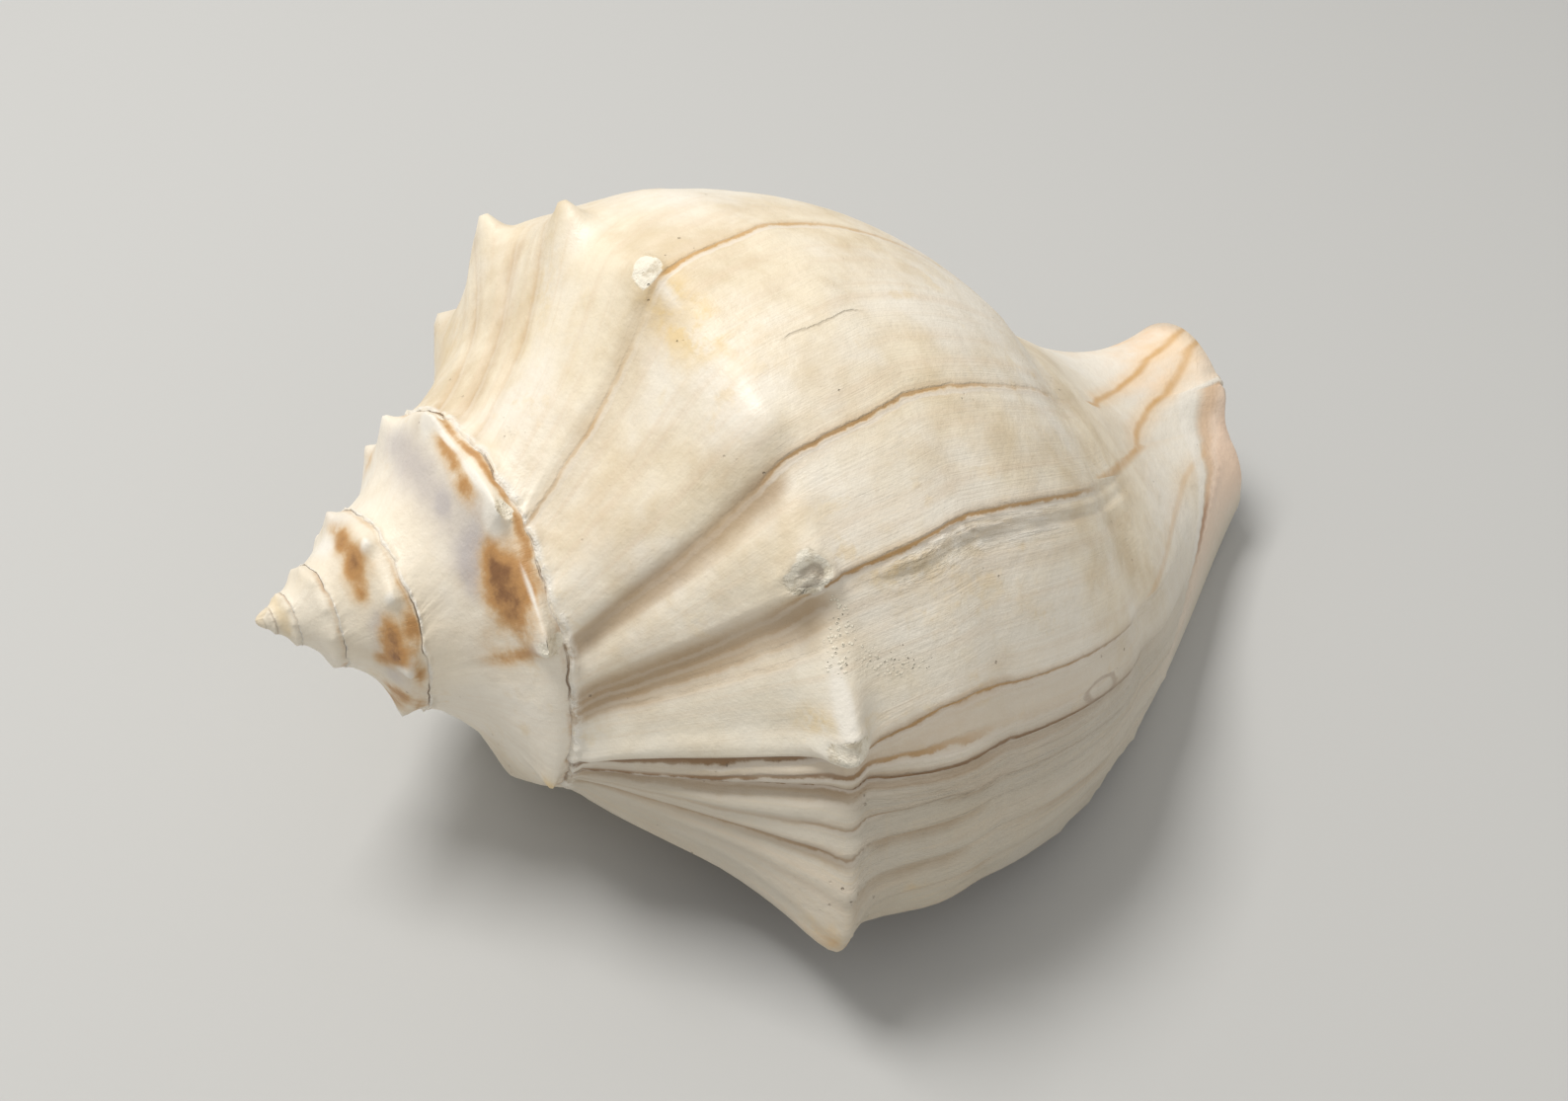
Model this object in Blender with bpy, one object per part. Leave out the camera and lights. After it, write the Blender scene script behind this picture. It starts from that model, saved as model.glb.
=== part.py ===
"""Knobbed whelk shell, one solid with a real hollow aperture and an open canal.

The wall is laid out as growth lines: each one is the outline the lip had at
one moment, a growth angle back from the present lip.  Every turn is smaller
than the next by the same ratio, and the top edge of a whorl sits on the
side of the whorl before it.
World frame: +X from the spire to the canal, +Z up, the shell lies on z = 0
with its aperture down.
"""

import bmesh
import bpy
import numpy as np

# ---------------------------------------------------------------- dimensions
LIP_RADIUS = 0.056          # axis to shoulder at the lip, metres
TURN_RATIO = 1.956          # size of one turn over the turn before
TURNS = 5.3                 # growth lines run this far back from the lip
STEPS = 54                  # growth lines in one turn
LEAD_STEPS = 3              # the suture end of a growth line runs this far ahead
HOLLOW_STEPS = 90           # how far back the cavity reaches
CANAL_STEPS = 18            # growth lines that end on the open canal mouth
LIP_AZIMUTH = -20.0         # degrees, lip at the shoulder, 0 = -Y, 90 = up
CANAL_CURL = 28.0           # degrees the lip edge tucks under at the canal end
AXIS_DIP = 9.44             # degrees, canal end lower than the spire
WALL = 0.0028               # wall thickness of the body whorl
EDGE_WALL = 0.0018          # wall thickness at the lip edge
CANAL_GAP = 0.02            # pillar to inner wall where the cavity ends, in lip radii

# Profile of one growth line in lip radii, (distance from axis, distance
# from apex): shoulder, then two points of the side below it.
SHOULDER = (1.0, 0.948)
SPIRE_SHOULDER = 0.94       # shoulder of the older turns, slimmer between knobs
SIDE_HIGH = (1.055, 1.22)
SIDE_LOW = (1.043, 1.38)
LIP_FLARE = 0.026           # how much fuller the side is at the lip itself
COVERED_SLIM = 0.035        # how much slimmer it is where the next whorl covers it
# The line on which the next whorl is laid, at growth angle 0, 360 and 720.
SEAT_R = (1.035, 0.997, 1.008)
SEAT_Z = (1.04, 1.035, 1.157)

# Lower part of the growth lines: where each ends, and the inner handle of
# the curve that leads there, by growth angle in degrees.
ANGLE = (0, 30, 68, 123, 183, 240, 290, 330, 360, 390, 420, 445, 475, 560, 800)
END_R = (0.325, 0.27, 0.17, 0.19, 0.27, 0.265, 0.25, 0.225, 0.16, 0.08, 0.06, 0.07, 0.09, 0.11, 0.10)
END_Z = (2.84, 2.75, 2.71, 2.71, 2.70, 2.70, 2.69, 2.68, 2.68, 2.68, 2.69, 2.69, 2.64, 2.10, 1.20)
HANDLE_R = (0.55, 0.39, 0.125, 0.00, 0.07, 0.05, 0.04, 0.04, 0.04, 0.04, 0.05, 0.05, 0.05, 0.05, 0.05)
HANDLE_Z = (2.54, 2.38, 2.16, 2.07, 2.12, 1.87, 1.64, 1.53, 1.46, 1.41, 1.37, 1.34, 1.30, 1.15, 0.80)
REACH = (0.36, 0.37, 0.385, 0.455, 0.51, 0.47, 0.43, 0.41, 0.40, 0.40, 0.39, 0.38, 0.38, 0.36, 0.34)

# Shoulder knobs: growth angle in degrees, height in lip radii of that turn.
KNOBS = (
    (3, 0.125), (34, 0.045), (55, 0.045), (76, 0.020), (103, 0.040), (127, 0.037),
    (154, 0.117), (184, 0.095), (215, 0.070), (246, 0.070), (278, 0.070), (310, 0.050),
    (338, 0.030), (366, 0.075), (403, 0.075), (439, 0.075), (478, 0.075), (513, 0.075),
    (538, 0.060), (570, 0.060), (605, 0.060), (640, 0.060), (675, 0.060), (714, 0.070),
    (746, 0.070), (781, 0.070), (815, 0.070), (870, 0.080),
)
LATER_KNOB_STEP = 34.0      # degrees between the small knobs of the first turns
LATER_KNOB_HEIGHT = 0.060
KNOB_OLD_SIDE = 10.0        # degrees, the gentle side
KNOB_NEW_SIDE = 6.5         # degrees, the steep side toward the lip

# Stations along a growth line: 0 suture, 1 shoulder, 1.25 seat of the next
# whorl, 2 end of the side, 3 end of the canal.
UPPER_ROWS = (0.0, 0.25, 0.55, 0.82, 1.0, 1.12, 1.25, 1.6, 2.0)
LOWER_BANDS = 7
SEAT_ROW = 6

# Lying pose: turned about its length by this many degrees it rests on the
# lip edge and on two knobs of the whorl before.
ROLL = -1.71


# ---------------------------------------------------------------- growth law
RATE = np.log(TURN_RATIO) / (2 * np.pi)


def ease(x, low, high):
    """Smooth step from 0 at low to 1 at high."""
    t = np.clip((x - low) / (high - low), 0.0, 1.0)
    return t * t * (3 - 2 * t)


def through(stations, values, x):
    """Smooth curve through values at the stations; values may be arrays."""
    count = len(stations)
    slopes = []
    for i in range(count):
        a = max(i - 1, 0)
        b = min(i + 1, count - 1)
        slopes.append((values[b] - values[a]) / (stations[b] - stations[a]))
    result = values[0] + 0.0 * x
    for i in range(count - 1):
        width = stations[i + 1] - stations[i]
        t = np.clip((x - stations[i]) / width, 0.0, 1.0)
        piece = (
            (2 * t**3 - 3 * t**2 + 1) * values[i]
            + (t**3 - 2 * t**2 + t) * width * slopes[i]
            + (3 * t**2 - 2 * t**3) * values[i + 1]
            + (t**3 - t**2) * width * slopes[i + 1]
        )
        result = np.where(x >= stations[i], piece, result)
    return result


def size_at(angle):
    """Scale of the growth line at this growth angle, in degrees."""
    return np.exp(-RATE * np.radians(angle))


def seat(angle):
    """Where the next whorl is laid, unscaled."""
    radius = np.interp(angle, (0, 360, 720), SEAT_R)
    height = np.interp(angle, (0, 360, 720), SEAT_Z)
    return radius, height


def bezier(t, a, b, c, d):
    """Cubic curve with end points a, d and handles b, c."""
    return (1 - t)**3 * a + 3 * (1 - t)**2 * t * b + 3 * (1 - t) * t**2 * c + t**3 * d


def upper_profile(angle, row):
    """Suture, ramp, shoulder and side of a growth line, and its slope at row 2."""
    lead = 360.0 - 360.0 * LEAD_STEPS / STEPS
    seat_r, seat_z = seat(angle)
    below_r, below_z = seat(angle + lead)
    suture_r = below_r * size_at(lead)
    suture_z = below_z * size_at(lead)
    older = ease(angle, 150, 320)
    shoulder_r = SHOULDER[0] + (SPIRE_SHOULDER - SHOULDER[0]) * older
    shoulder_z = SHOULDER[1] + 0.0 * angle
    hollow = ease(angle, 0, 150)
    first_r = suture_r + (shoulder_r - suture_r) * (0.20 - 0.10 * hollow)
    first_z = suture_z + (shoulder_z - suture_z) * 0.25
    second_r = suture_r + (shoulder_r - suture_r) * (0.60 - 0.14 * hollow)
    second_z = suture_z + (shoulder_z - suture_z) * (0.65 + 0.03 * hollow)
    stations = (0.0, 0.3, 0.65, 1.0, 1.25, 1.6, 2.0)
    fuller = LIP_FLARE * (1 - ease(angle, 0, 90)) - COVERED_SLIM * ease(angle, 250, 340)
    high = SIDE_HIGH[0] + fuller
    low = SIDE_LOW[0] + fuller
    radii = (suture_r, first_r, second_r, shoulder_r, seat_r, high, low)
    heights = (suture_z, first_z, second_z, shoulder_z, seat_z,
               SIDE_HIGH[1] + 0.0 * angle, SIDE_LOW[1] + 0.0 * angle)
    at = np.minimum(row, 2.0) + 0.0 * angle
    scale = size_at(angle)
    return through(stations, radii, at) * scale, through(stations, heights, at) * scale


def table(values, angle):
    """One of the lower-part tables at any growth angle."""
    return through(ANGLE, values, angle)


def outer_profile(angle, row):
    """Distance from axis and from apex on the outside, in lip radii."""
    radius, height = upper_profile(angle, row)
    reach = table(REACH, angle) * (table(END_Z, angle) - height)
    t = np.clip(row - 2.0, 0.0, 1.0)
    curve_r = bezier(t, radius, radius - 0.07 * reach, table(HANDLE_R, angle), table(END_R, angle))
    curve_z = bezier(t, height, height + reach, table(HANDLE_Z, angle), table(END_Z, angle))
    return np.where(row > 2.0, curve_r, radius), np.where(row > 2.0, curve_z, height)


def knob_height(angle, row):
    """How far the knobs and their ridges stand out, in lip radii."""
    knobs = list(KNOBS)
    later = KNOBS[-1][0] + LATER_KNOB_STEP
    while later < 360 * TURNS:
        knobs.append((later, LATER_KNOB_HEIGHT))
        later += LATER_KNOB_STEP
    total = 0.0 * angle + 0.0 * row
    for place, height in knobs:
        x = angle - place
        width = np.where(x > 0, KNOB_OLD_SIDE, KNOB_NEW_SIDE)
        across = np.where(row < 1.0, 0.30, 0.28)
        bump = np.exp(-(x / width)**2 - ((row - 1.0) / across)**2)
        total = total + height * size_at(place) * bump
    return total


def azimuth(angle, row):
    """Turn about the axis in degrees; the suture end of each line runs ahead."""
    lead = 360.0 * LEAD_STEPS / STEPS
    ahead = through((0.0, 0.3, 1.0, 1.25, 2.0, 2.5, 3.0),
                    (lead, 0.8 * lead, 0.0, 0.0, 0.0, 0.35 * CANAL_CURL, CANAL_CURL), row)
    return LIP_AZIMUTH + angle - ahead


def place(radius, height, turn):
    """Points in metres from distance to axis, distance to apex and azimuth."""
    height = height - 0.022 * np.exp(-radius / 0.08)
    side = -radius * np.cos(np.radians(turn))
    rise = radius * np.sin(np.radians(turn))
    dip = np.radians(AXIS_DIP)
    x = height * np.cos(dip) + rise * np.sin(dip)
    z = -height * np.sin(dip) + rise * np.cos(dip)
    return np.stack([x, side, z], axis=-1) * LIP_RADIUS


def outer_points(angle, row):
    """Outside of the shell, knobs included."""
    radius, height = outer_profile(angle, row)
    knob = knob_height(angle, row)
    return place(radius + knob, height - 0.25 * knob, azimuth(angle, row))


def inner_points(angle, row):
    """Inside of the wall, for a column of growth angles and a row of stations."""
    wall = EDGE_WALL + (WALL - EDGE_WALL) * ease(angle, 0, 30)
    wall = wall / LIP_RADIUS * np.maximum(size_at(angle), 0.6)
    radius, height = upper_profile(angle, row)
    lean = np.radians(25 + 65 * ease(row, 0.7, 1.3))    # from under the ramp to the side
    knob = 0.45 * knob_height(angle, row)
    radius = radius - wall * np.sin(lean) + knob
    height = height + wall * np.cos(lean) - 0.25 * knob
    # the lower part follows the outside near the lip and closes on the pillar
    lead = 360.0 - 360.0 * LEAD_STEPS / STEPS
    mouth = 360.0 * CANAL_STEPS / STEPS
    closed = ease(angle, mouth - 40, mouth)
    pillar_r = table(END_R, angle + lead) + CANAL_GAP
    pillar_z = table(END_Z, angle + lead)
    end_r = (1 - closed) * (table(END_R, angle) - wall) + closed * pillar_r
    end_z = (1 - closed) * (table(END_Z, angle) - 0.01) + closed * pillar_z
    reach = table(REACH, angle) * (end_z - height)
    handle_r = (1 - closed) * (table(HANDLE_R, angle) - wall) + closed * (end_r + 0.02)
    handle_z = (1 - closed) * table(HANDLE_Z, angle) + closed * (0.72 * end_z + 0.28 * height)
    t = np.clip(row - 2.0, 0.0, 1.0)
    curve_r = bezier(t, radius, radius - 0.07 * reach, handle_r, end_r)
    curve_z = bezier(t, height, height + reach, handle_z, end_z)
    # and never comes closer to the outside than the wall
    stations = np.linspace(2.0, 3.0, 41)[None, :]
    limit_r, limit_z = outer_profile(angle, stations)
    for k in range(len(angle)):
        nearest = np.interp(curve_z[k], limit_z[k], limit_r[k]) - wall[k]
        curve_r[k] = np.minimum(curve_r[k], nearest)
    radius = np.where(row > 2.0, curve_r, radius)
    height = np.where(row > 2.0, curve_z, height)
    behind = 360.0 * LEAD_STEPS / STEPS * closed * t
    return place(radius, height, azimuth(angle, row) - behind)


# ---------------------------------------------------------------- surface
ROWS = UPPER_ROWS + tuple(2.0 + (k + 1) / LOWER_BANDS for k in range(LOWER_BANDS))
LAST_ROW = len(ROWS) - 1
OVERLAP = STEPS - LEAD_STEPS            # growth lines from a whorl to its seat
LAST_LINE = round(STEPS * TURNS)


def zipper(points, left, right):
    """Triangles between two rows of points, always along the shorter diagonal."""
    faces = []
    i = 0
    j = 0
    while i < len(left) - 1 or j < len(right) - 1:
        if i == len(left) - 1:
            on_left = False
        elif j == len(right) - 1:
            on_left = True
        else:
            along_left = np.linalg.norm(points[left[i + 1]] - points[right[j]])
            along_right = np.linalg.norm(points[left[i]] - points[right[j + 1]])
            on_left = along_left <= along_right
        if on_left:
            faces.append((left[i], left[i + 1], right[j]))
            i += 1
        else:
            faces.append((left[i], right[j + 1], right[j]))
            j += 1
    return [face for face in faces if len(set(face)) == 3]


def shell_surface():
    """Points and faces of the whole closed surface."""
    lines = np.arange(LAST_LINE + 1)[:, None] * 360.0 / STEPS
    rows = np.array(ROWS)[None, :]
    outside = outer_points(lines, rows)
    inside = inner_points(lines[:HOLLOW_STEPS + 1], rows)
    points = []
    outer = {}
    inner = {}

    # the top of each whorl follows the knobs of the whorl it is laid on
    fade = (1 - ease(rows[0], 0.0, 0.7))[:, None]
    for i in range(LAST_LINE - OVERLAP + 1):
        outside[i] += fade * (outside[i + OVERLAP, SEAT_ROW] - outside[i, 0])
    # the inside of its wall starts from the side of that whorl
    start = ROWS.index(0.55)
    for i in range(HOLLOW_STEPS + 1):
        foot = outside[i + OVERLAP, SEAT_ROW + 1]
        for j in range(start):
            inside[i, j] = foot + (inside[i, start] - foot) * ROWS[j] / ROWS[start]

    def add(point):
        points.append(point)
        return len(points) - 1

    # oldest lines first, so that each suture point can reuse its seat
    for i in range(LAST_LINE, -1, -1):
        top = LAST_ROW if i <= OVERLAP + HOLLOW_STEPS else SEAT_ROW
        for j in range(top + 1):
            if j == 0 and i + OVERLAP <= LAST_LINE:
                outer[i, j] = outer[i + OVERLAP, SEAT_ROW]
            else:
                outer[i, j] = add(outside[i, j])
    for i in range(HOLLOW_STEPS + 1):
        inner[i, 0] = outer[i + OVERLAP, SEAT_ROW + 1]
        for j in range(1, LAST_ROW + 1):
            inner[i, j] = add(inside[i, j])

    faces = []

    def patch(grid, first, last, low, high):
        for i in range(first, last):
            for j in range(low, high):
                faces.append((grid[i, j], grid[i + 1, j], grid[i + 1, j + 1], grid[i, j + 1]))

    patch(outer, 0, OVERLAP, 0, LAST_ROW)                                   # body whorl
    patch(outer, OVERLAP, LAST_LINE, 0, SEAT_ROW)                           # spire
    patch(outer, OVERLAP, OVERLAP + HOLLOW_STEPS, SEAT_ROW + 1, LAST_ROW)   # pillar
    patch(inner, 0, HOLLOW_STEPS, 0, LAST_ROW)                              # inside of the wall

    # lip edge, then the open end of the canal
    rim_out = [outer[0, j] for j in range(LAST_ROW + 1)]
    rim_in = [inner[0, j] for j in range(LAST_ROW + 1)]
    rim_out += [outer[i, LAST_ROW] for i in range(1, CANAL_STEPS + 1)]
    rim_in += [inner[i, LAST_ROW] for i in range(1, CANAL_STEPS + 1)]
    for k in range(len(rim_out) - 1):
        faces.append((rim_out[k], rim_out[k + 1], rim_in[k + 1], rim_in[k]))

    # bottom of the cavity where the inner wall closes on the pillar
    for i in range(CANAL_STEPS, HOLLOW_STEPS):
        faces.append((inner[i, LAST_ROW], inner[i + 1, LAST_ROW],
                      outer[i + 1 + OVERLAP, LAST_ROW], outer[i + OVERLAP, LAST_ROW]))

    # deep end of the cavity
    deep = [inner[HOLLOW_STEPS, j] for j in range(LAST_ROW + 1)]
    back = [outer[OVERLAP + HOLLOW_STEPS, j] for j in range(SEAT_ROW + 1, LAST_ROW + 1)]
    faces.extend(zipper(points, deep, back))

    # canal end of the pillar and the tip of the spire, each a fan
    tip = [outer[i, LAST_ROW] for i in range(CANAL_STEPS, OVERLAP + CANAL_STEPS + 1)]
    tip.append(inner[CANAL_STEPS, LAST_ROW])
    apex = [outer[i, 0] for i in range(LAST_LINE - OVERLAP, LAST_LINE + 1)]
    apex += [outer[LAST_LINE, j] for j in range(1, SEAT_ROW)]
    for loop, raise_by in ((tip, 0.0), (apex, 0.010)):
        middle = np.mean([points[k] for k in loop], axis=0)
        middle = middle - place(np.array(0.0), np.array(raise_by), np.array(0.0))
        middle = middle + place(np.array(0.0), np.array(0.0), np.array(0.0))
        centre = add(middle)
        for k in range(len(loop)):
            faces.append((loop[k], loop[(k + 1) % len(loop)], centre))
    return np.array(points), faces


def set_down(points):
    """Roll the shell a little about its length, then rest it on z = 0, centred."""
    turn = np.radians(ROLL)
    y = points[:, 1] * np.cos(turn) - points[:, 2] * np.sin(turn)
    z = points[:, 1] * np.sin(turn) + points[:, 2] * np.cos(turn)
    points = np.stack([points[:, 0], y, z], axis=1)
    low = points.min(axis=0)
    high = points.max(axis=0)
    return points - np.array([(low[0] + high[0]) / 2, (low[1] + high[1]) / 2, low[2]])


def make_material():
    """Worn cream shell."""
    material = bpy.data.materials.new("shell")
    material.use_nodes = True
    shader = material.node_tree.nodes["Principled BSDF"]
    shader.inputs["Base Color"].default_value = (0.66, 0.56, 0.43, 1.0)
    shader.inputs["Roughness"].default_value = 0.5
    return material


def build():
    """The shell as one named object in its own collection."""
    for old in list(bpy.data.objects):
        bpy.data.objects.remove(old, do_unlink=True)
    home = bpy.data.collections.new("whelk_shell")
    bpy.context.scene.collection.children.link(home)
    points, faces = shell_surface()
    mesh = bpy.data.meshes.new("shell")
    mesh.from_pydata([tuple(p) for p in set_down(points)], [], faces)
    body = bmesh.new()
    body.from_mesh(mesh)
    bmesh.ops.recalc_face_normals(body, faces=body.faces)
    if body.calc_volume(signed=True) < 0:
        bmesh.ops.reverse_faces(body, faces=body.faces)
    bmesh.ops.triangulate(body, faces=body.faces)
    body.to_mesh(mesh)
    body.free()
    mesh.materials.append(make_material())
    shell = bpy.data.objects.new("shell", mesh)
    home.objects.link(shell)


build()
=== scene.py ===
"""Looks of a beach-worn knobbed whelk shell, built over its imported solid.

World frame: +X from the spire to the canal, -Y towards the outer lip, +Z up.
Lengths are in metres unless a name or a comment says otherwise.
"""

import bpy
import numpy as np
from mathutils import Euler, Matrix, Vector


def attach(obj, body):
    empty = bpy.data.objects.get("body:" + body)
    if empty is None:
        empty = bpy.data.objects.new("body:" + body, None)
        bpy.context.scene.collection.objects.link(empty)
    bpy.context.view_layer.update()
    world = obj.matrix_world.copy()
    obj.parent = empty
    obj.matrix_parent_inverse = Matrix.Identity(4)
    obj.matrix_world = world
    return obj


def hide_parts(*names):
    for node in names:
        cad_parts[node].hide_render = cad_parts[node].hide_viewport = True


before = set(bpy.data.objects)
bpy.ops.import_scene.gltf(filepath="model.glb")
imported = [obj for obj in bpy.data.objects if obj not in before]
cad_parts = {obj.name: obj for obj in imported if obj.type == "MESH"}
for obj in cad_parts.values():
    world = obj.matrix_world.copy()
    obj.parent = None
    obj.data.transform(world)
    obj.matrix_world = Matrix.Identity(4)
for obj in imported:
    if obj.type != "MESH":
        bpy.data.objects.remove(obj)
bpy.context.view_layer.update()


# ---------------------------------------------------------------- shell
# One grown piece of shell lime: a thin wall that the animal laid down line by
# line at its lip, coiled round a solid pillar.  The sea has worn it smooth; old
# lip edges stand as low ledges, and some knob tips are broken off chalky.

# Growth: every turn is smaller than the next by the same ratio.  The outline
# of a growth line is the same here as in the solid.
LIP_RADIUS = 0.056          # axis to shoulder at the lip
TURN_RATIO = 1.956          # size of one turn over the turn before
OLDEST = 1908.0             # growth angle of the first line kept, degrees
LEAD = 20.0                 # degrees the suture end of a growth line runs ahead
TURN_BACK = 360.0 - LEAD    # growth angle from a suture to the whorl it lies on
LIP_AZIMUTH = -20.0
CANAL_CURL = 28.0           # degrees the canal end turns back
AXIS_DIP = 9.44             # how far the canal end lies below the spire, degrees
ROLL = -1.71
SET_DOWN = np.array((-0.07727, 0.00937, 0.04106))
MOUTH = 120.0               # growth angle where the open canal mouth ends
WALL = 0.0028
EDGE_WALL = 0.0018          # the wall at the lip
CANAL_GAP = 0.02            # from the pillar to the canal's wall, in lip radii
APEX_RISE = 0.022           # how far the spire's tip stands up, in lip radii
APEX_WIDE = 0.08

# radius and height, in lip radii
SHOULDER = (1.0, 0.948)
SPIRE_SHOULDER = 0.94
SIDE_HIGH = (1.055, 1.22)
SIDE_LOW = (1.043, 1.38)
LIP_FLARE = 0.026
COVERED_SLIM = 0.035
# where the next whorl lies, at three growth angles a turn apart
SEAT_TURNS = (0, 360, 720)
SEAT_R = (1.035, 0.997, 1.008)
SEAT_Z = (1.04, 1.035, 1.157)

# growth angle, then radius and height of the canal end, radius and height of
# the handle that draws the curve to it, and the reach of the curve's upper end
LOWER_SIDE = (
    (0, 0.325, 2.84, 0.55, 2.54, 0.36), (30, 0.27, 2.75, 0.39, 2.38, 0.37),
    (68, 0.17, 2.71, 0.125, 2.16, 0.385), (123, 0.19, 2.71, 0, 2.07, 0.455),
    (183, 0.27, 2.7, 0.07, 2.12, 0.51), (240, 0.265, 2.7, 0.05, 1.87, 0.47),
    (290, 0.25, 2.69, 0.04, 1.64, 0.43), (330, 0.225, 2.68, 0.04, 1.53, 0.41),
    (360, 0.16, 2.68, 0.04, 1.46, 0.4), (390, 0.08, 2.68, 0.04, 1.41, 0.4),
    (420, 0.06, 2.69, 0.05, 1.37, 0.39), (445, 0.07, 2.69, 0.05, 1.34, 0.38),
    (475, 0.09, 2.64, 0.05, 1.3, 0.38), (560, 0.11, 2.1, 0.05, 1.15, 0.36),
    (800, 0.1, 1.2, 0.05, 0.8, 0.34),
)
ANGLE, END_R, END_Z, HANDLE_R, HANDLE_Z, REACH = zip(*LOWER_SIDE)

# growth angle, height in lip radii of that turn
KNOBS = [
    (3, 0.125), (34, 0.045), (55, 0.045), (76, 0.02), (103, 0.04), (127, 0.037), (154, 0.117),
    (184, 0.095), (215, 0.07), (246, 0.07), (278, 0.07), (310, 0.05), (338, 0.03), (366, 0.075),
    (403, 0.075), (439, 0.075), (478, 0.075), (513, 0.075), (538, 0.06), (570, 0.06), (605, 0.06),
    (640, 0.06), (675, 0.06), (714, 0.07), (746, 0.07), (781, 0.07), (815, 0.07), (870, 0.08),
]
OLD_KNOBS = range(904, int(OLDEST), 34)
KNOBS += [(angle, 0.060) for angle in OLD_KNOBS]
KNOB_OLD_SIDE = 10.0
KNOB_NEW_SIDE = 6.5

RATE = np.log(TURN_RATIO) / (2 * np.pi)


def ease(x, low, high):
    """Smooth step from 0 at low to 1 at high; low may be above high."""
    t = np.clip((x - low) / (high - low), 0.0, 1.0)
    return t * t * (3 - 2 * t)


def through(stations, values, x):
    """Smooth curve through values at the stations; values may be arrays."""
    slopes = []
    for i in range(len(stations)):
        a = max(i - 1, 0)
        b = min(i + 1, len(stations) - 1)
        slopes.append((values[b] - values[a]) / (stations[b] - stations[a]))
    result = values[0] + 0.0 * x
    for i in range(len(stations) - 1):
        width = stations[i + 1] - stations[i]
        t = np.clip((x - stations[i]) / width, 0.0, 1.0)
        piece = (
            (2 * t**3 - 3 * t**2 + 1) * values[i]
            + (t**3 - 2 * t**2 + t) * width * slopes[i]
            + (3 * t**2 - 2 * t**3) * values[i + 1]
            + (t**3 - t**2) * width * slopes[i + 1]
        )
        result = np.where(x >= stations[i], piece, result)
    return result


def size_at(angle):
    return np.exp(-RATE * np.radians(angle))


def table(values, angle):
    return through(ANGLE, values, angle)


def bezier(t, a, b, c, d):
    return (1 - t)**3 * a + 3 * (1 - t)**2 * t * b + 3 * (1 - t) * t**2 * c + t**3 * d


def upper_profile(angle, row):
    """Suture (row 0), ramp, shoulder (row 1) and side (to row 2) of a growth line."""
    seat_r = np.interp(angle, SEAT_TURNS, SEAT_R)
    seat_z = np.interp(angle, SEAT_TURNS, SEAT_Z)
    suture_r = np.interp(angle + TURN_BACK, SEAT_TURNS, SEAT_R) * size_at(TURN_BACK)
    suture_z = np.interp(angle + TURN_BACK, SEAT_TURNS, SEAT_Z) * size_at(TURN_BACK)
    shoulder_r = SHOULDER[0] + (SPIRE_SHOULDER - SHOULDER[0]) * ease(angle, 150, 320)
    shoulder_z = SHOULDER[1] + 0.0 * angle
    hollow = ease(angle, 0, 150)
    fuller = LIP_FLARE * (1 - ease(angle, 0, 90)) - COVERED_SLIM * ease(angle, 250, 340)
    radii = (
        suture_r,
        suture_r + (shoulder_r - suture_r) * (0.20 - 0.10 * hollow),
        suture_r + (shoulder_r - suture_r) * (0.60 - 0.14 * hollow),
        shoulder_r, seat_r, SIDE_HIGH[0] + fuller, SIDE_LOW[0] + fuller,
    )
    heights = (
        suture_z,
        suture_z + (shoulder_z - suture_z) * 0.25,
        suture_z + (shoulder_z - suture_z) * (0.65 + 0.03 * hollow),
        shoulder_z, seat_z, SIDE_HIGH[1] + 0.0 * angle, SIDE_LOW[1] + 0.0 * angle,
    )
    stations = (0.0, 0.3, 0.65, 1.0, 1.25, 1.6, 2.0)
    at = np.minimum(row, 2.0) + 0.0 * angle
    size = size_at(angle)
    return through(stations, radii, at) * size, through(stations, heights, at) * size


def outer_profile(angle, row):
    """Distance from axis and from apex on the outside; row 3 is the canal end."""
    radius, height = upper_profile(angle, row)
    reach = table(REACH, angle) * (table(END_Z, angle) - height)
    t = np.clip(row - 2.0, 0.0, 1.0)
    curve_r = bezier(t, radius, radius - 0.07 * reach, table(HANDLE_R, angle), table(END_R, angle))
    curve_z = bezier(t, height, height + reach, table(HANDLE_Z, angle), table(END_Z, angle))
    return np.where(row > 2.0, curve_r, radius), np.where(row > 2.0, curve_z, height)


def knob_height(angle, row):
    """Knobs rise slowly from the older side and fall steeply towards the lip."""
    total = 0.0 * angle + 0.0 * row
    across = np.where(row < 1.0, 0.30, 0.28)
    for at, height in KNOBS:
        x = angle - at
        width = np.where(x > 0, KNOB_OLD_SIDE, KNOB_NEW_SIDE)
        total = total + height * size_at(at) * np.exp(-(x / width)**2 - ((row - 1.0) / across)**2)
    return total


def azimuth(angle, row):
    ahead = through((0.0, 0.3, 1.0, 1.25, 2.0, 2.5, 3.0),
                    (LEAD, 0.8 * LEAD, 0.0, 0.0, 0.0, 0.35 * CANAL_CURL, CANAL_CURL), row)
    return LIP_AZIMUTH + angle - ahead


def place(radius, height, turn):
    """World points from distance to axis, distance to apex and azimuth."""
    height = height - APEX_RISE * np.exp(-radius / APEX_WIDE)
    side = -radius * np.cos(np.radians(turn))
    rise = radius * np.sin(np.radians(turn))
    dip = np.radians(AXIS_DIP)
    x = height * np.cos(dip) + rise * np.sin(dip)
    z = -height * np.sin(dip) + rise * np.cos(dip)
    roll = np.radians(ROLL)
    y = side * np.cos(roll) - z * np.sin(roll)
    z = side * np.sin(roll) + z * np.cos(roll)
    return np.stack([x, y, z], axis=-1) * LIP_RADIUS + SET_DOWN


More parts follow.
